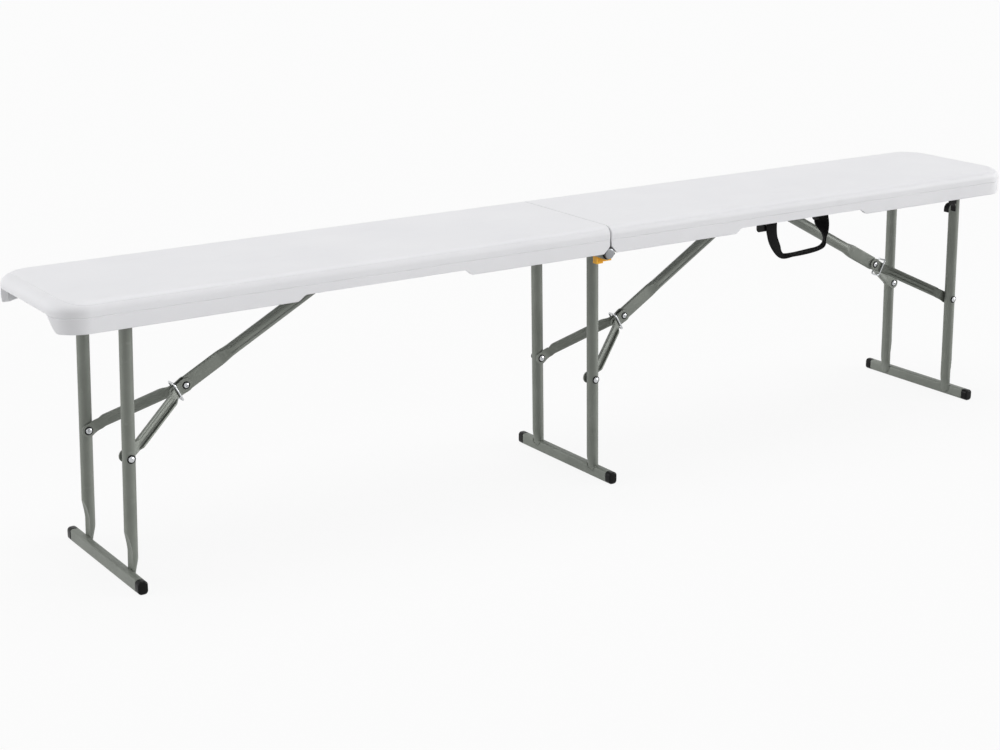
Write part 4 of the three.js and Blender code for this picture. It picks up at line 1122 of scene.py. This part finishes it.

# The last four keys size the black ring of painted shadow behind the hinge disc
toe = {"outer": -118.4, "inner": -116.4, "radius": 11, "from": -112, "to": 62, "steps": 20, "bore": 5.4,
       "boreSides": 32, "left": -25, "leftTop": 388, "leftFoot": 384.2, "corner": 6, "cornerRise": 4,
       "bevel": 0.35, "discShadowOuter": -118.95, "discShadowInner": -118.45, "discShadowRadius": 10, "discShadowSides": 40}


def hingeToe(v):
    # Cheek of the left hinge plate behind the disc: an eye round the rod and a toe under the skirt
    z = hinge["height"]
    outline = arcPoints(0, z, v["radius"], v["from"], v["to"], v["steps"])
    outline += [(v["left"] + v["corner"], v["leftTop"] + v["cornerRise"]), (v["left"], v["leftTop"]),
                (v["left"], v["leftFoot"])]
    piece = looseObject("hingeToe", prism(outline, v["outer"], v["inner"]))
    cut(piece, pinShape(0, z, v["bore"], v["outer"] - overrun, v["inner"] + overrun, v["boreSides"]))
    finishPiece(piece, "paint", "left_half", bevel=v["bevel"])
    # Black ring behind the hinge disc: painted shadow round the disc
    outer, inner = v["discShadowOuter"], v["discShadowInner"]
    profile = [(v["bore"], outer), (v["discShadowRadius"], outer), (v["discShadowRadius"], inner), (v["bore"], inner)]
    addPiece("discShadowRing", turnedRing(profile, 0, z, v["discShadowSides"]), "black", "left_half", (), 40)


hingeToe(toe)

clip = {"x": 799, "z": 363.5, "jaw": 8, "wall": 2, "steps": 24, "lipShare": 0.6, "inner": 88, "outer": 98.5,
        "stem": 18, "stemGap": 0.5, "stemOuter": 99.7, "sheet": 2.6, "top": 412, "bevel": 0.5}


def closingClip(v):
    outer, x, z, steps = v["jaw"] + v["wall"], v["x"], v["z"], v["steps"]
    low = z - outer * v["lipShare"]
    jaw = arcPoints(x, z, outer, 180, 0, steps) + [(x + outer, low), (x + v["jaw"], low)]
    jaw += arcPoints(x, z, v["jaw"], 0, 180, steps) + [(x - v["jaw"], low), (x - outer, low)]
    piece = looseObject("closingClip", prism(jaw, -v["outer"], -v["inner"]))
    join(piece, boxShape(x - v["stem"] / 2, x + v["stem"] / 2, -v["stemOuter"], v["sheet"] - v["stemOuter"],
                         z + v["jaw"] + v["stemGap"], v["top"]))
    finishPiece(piece, "black", "right_half", ["closing_clip"], bevel=v["bevel"])


closingClip(clip)
print("hinge, lock and clip built")


# Carry strap of webbing and its anchors

strap = {"left": 345, "right": 459, "top": 389, "drop": 57, "width": 25, "sheet": 2.2, "y": -117,
         "edgeShare": 0.45, "edgeSteps": 3, "steps": 6}
# Rows: share of the span, share of the drop, turn in degrees, thickness
strapShares = [
    (0, -0.15, 0, 2.2), (0, 0, 2, 2.2), (0.016, 0.22, 8, 2.2), (0.05, 0.45, 14, 2.2), (0.13, 0.71, 24, 2.3),
    (0.2, 0.86, 40, 2.6), (0.265, 0.945, 76, 3.2), (0.35, 0.975, 94, 4.0), (0.5, 0.98, 97, 4.2),
    (0.68, 0.965, 97, 4.2), (0.86, 0.935, 99, 4.0), (0.99, 0.89, 106, 3.2), (1.06, 0.8, 118, 2.2),
    (1.08, 0.69, 124, 2.0), (1.07, 0.55, 116, 2.0), (1.05, 0.38, 92, 2.2), (1.02, 0.2, 62, 2.2),
    (1.0, 0.05, 36, 2.2), (0.995, -0.08, 20, 2.2), (0.995, -0.15, 14, 2.2),
]
anchor = {"top": 398.7, "back": -104, "round": 7, "roundSteps": 10, "taper": 11, "bevel": 0.8}


def curveThrough(rows, steps):
    # Smooth curve through each row, with an even count of steps between rows
    made = []
    for i in range(len(rows) - 1):
        near = [rows[min(max(k, 0), len(rows) - 1)] for k in range(i - 1, i + 3)]
        for t in (k / steps for k in range(steps)):
            made.append(tuple(
                0.5 * (2 * q + (r - p) * t + (2 * p - 5 * q + 4 * r - s) * t * t
                       + (3 * q - p - 3 * r + s) * t ** 3)
                for p, q, r, s in zip(*near)))
    return made + [rows[-1]]


def strapPiece(v):
    rows = curveThrough(strapShares, v["steps"])
    span = v["right"] - v["left"]
    centres = [Vector((v["left"] + span * a, v["y"], v["top"] - v["drop"] * b)) for a, b, _, _ in rows]
    rings, runs = [], [0.0]
    for i, centre in enumerate(centres):
        along = (centres[min(i + 1, len(centres) - 1)] - centres[max(i - 1, 0)]).normalized()
        turn, thick = math.radians(rows[i][2]), rows[i][3]
        across = Vector((-along.z * math.cos(turn), math.sin(turn), along.x * math.cos(turn)))
        through = along.cross(across)
        section = roundedRect(0, 0, v["width"], thick, thick * v["edgeShare"], v["edgeSteps"])
        rings.append([tuple(centre + across * a + through * b) for a, b in section])
        if i:
            runs.append(runs[-1] + (centre - centres[i - 1]).length)
    piece = looseObject("carryStrap", loft(rings))

    # The weave runs along the strap: each point's run and its distance from the middle line
    layer = piece.data.uv_layers.new(name="UVMap")
    middle = [c * metres for c in centres]
    places = []
    for vertex in piece.data.vertices:
        index = min(range(len(middle)), key=lambda i: (middle[i] - vertex.co).length_squared)
        offset = vertex.co - middle[index]
        places.append((runs[index] * metres, offset.length * (1 if offset.y > 0 else -1)))
    for loop in piece.data.loops:
        layer.data[loop.index].uv = places[loop.vertex_index]
    finishPiece(piece, "webbing", None, ["handle_strap"], 50)
    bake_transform(piece)


strapPiece(strap)


def anchorPiece(name, node, x0, x1, low, v):
    rings = []
    for y, taper in ((strap["y"] + strap["sheet"] / 2 + gap, 0), (v["back"], v["taper"])):
        left = x0 + taper
        outline = arcPoints(left + v["round"], low + v["round"], v["round"], 180, 270, v["roundSteps"])
        rings.append([(x, y, z) for x, z in outline + [(x1, low), (x1, v["top"]), (left, v["top"])]])
    finishPiece(looseObject(name, loft(rings)), "black", "right_half", [node], bevel=v["bevel"])


anchorPiece("strapAnchorLeft", "handle_anchor_left", 313, 357, 380.5, anchor)
anchorPiece("strapAnchorRight", "handle_anchor_right", 438, 472, 387, anchor)
print("strap built")


# The frame's own solids that stay are all pressed steel
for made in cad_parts.values():
    if not made.hide_render:
        made.data.materials.clear()
        made.data.materials.append(finishes["paint"][0])


# Floor, backdrop and light

studio = {
    "floorHalf": 30.0, "floor": "dedede", "floorRoughness": 0.9, "floorWhite": 0.9, "world": 0.2,
    # Soft lamps: direction to the lamp, strength on a surface that faces it, softness in radians
    "lamps": {
        "rightLamp": ((0.8, -0.55, 0.15), 0.7, 0.6),
        "leftLamp": ((-0.9, 0.35, 0.22), 0.45, 0.7),
        "topLamp": ((0.0, 0.05, 1.0), 0.49, 1.0),
    },
}
white = (1, 1, 1, 1)


def whiteToCamera(tree, kind, surface, output, share=1.0):
    # The surface reads as white to the camera and in gloss, wholly or in part, and lights the object as it is
    paths = addNode(tree, "LightPath", {}).outputs
    seen = mathNode(tree, "ADD", paths["Is Camera Ray"], paths["Is Glossy Ray"])
    seen = mathNode(tree, "ADD", seen, paths["Is Transmission Ray"])
    seen = mathNode(tree, "MULTIPLY", mathNode(tree, "MINIMUM", seen, 1.0), share)
    bright = addNode(tree, kind, {"Color": white, "Strength": 1.0}).outputs[0]
    mixer = addNode(tree, "MixShader", {"Fac": seen, 1: surface, 2: bright})
    feed(tree, output.inputs["Surface"], mixer.outputs[0])


def studioWorld(v):
    world = bpy.data.worlds.new("studioWorld")
    world.use_nodes = True
    bpy.context.scene.world = world
    sky = world.node_tree.nodes["Background"]
    sky.inputs["Color"].default_value = white
    sky.inputs["Strength"].default_value = v["world"]
    whiteToCamera(world.node_tree, "Background", sky.outputs[0], world.node_tree.nodes["World Output"])


def studioFloor(v):
    half = v["floorHalf"]
    data = bpy.data.meshes.new("studioFloor")
    corners = [(-half, -half, 0), (half, -half, 0), (half, half, 0), (-half, half, 0)]
    data.from_pydata(corners, [], [(0, 1, 2, 3)])
    finish = Finish("studioFloor", 0.0, 0.5)
    finish.shader.inputs["Base Color"].default_value = linearColor(v["floor"])
    finish.shader.inputs["Roughness"].default_value = v["floorRoughness"]
    output = finish.tree.nodes["Material Output"]
    whiteToCamera(finish.tree, "Emission", finish.shader.outputs[0], output, v["floorWhite"])
    data.materials.append(finish.material)
    linked("studioFloor", data)


def studioLamps(v):
    for name, (towards, strength, softness) in v["lamps"].items():
        data = bpy.data.lights.new(name, "SUN")
        data.energy = strength * math.pi
        data.angle = softness
        linked(name, data).rotation_euler = Vector(towards).to_track_quat("Z", "Y").to_euler()


studioWorld(studio)
studioFloor(studio)
studioLamps(studio)
bpy.context.scene.view_settings.view_transform = "Standard"
print("studio built")
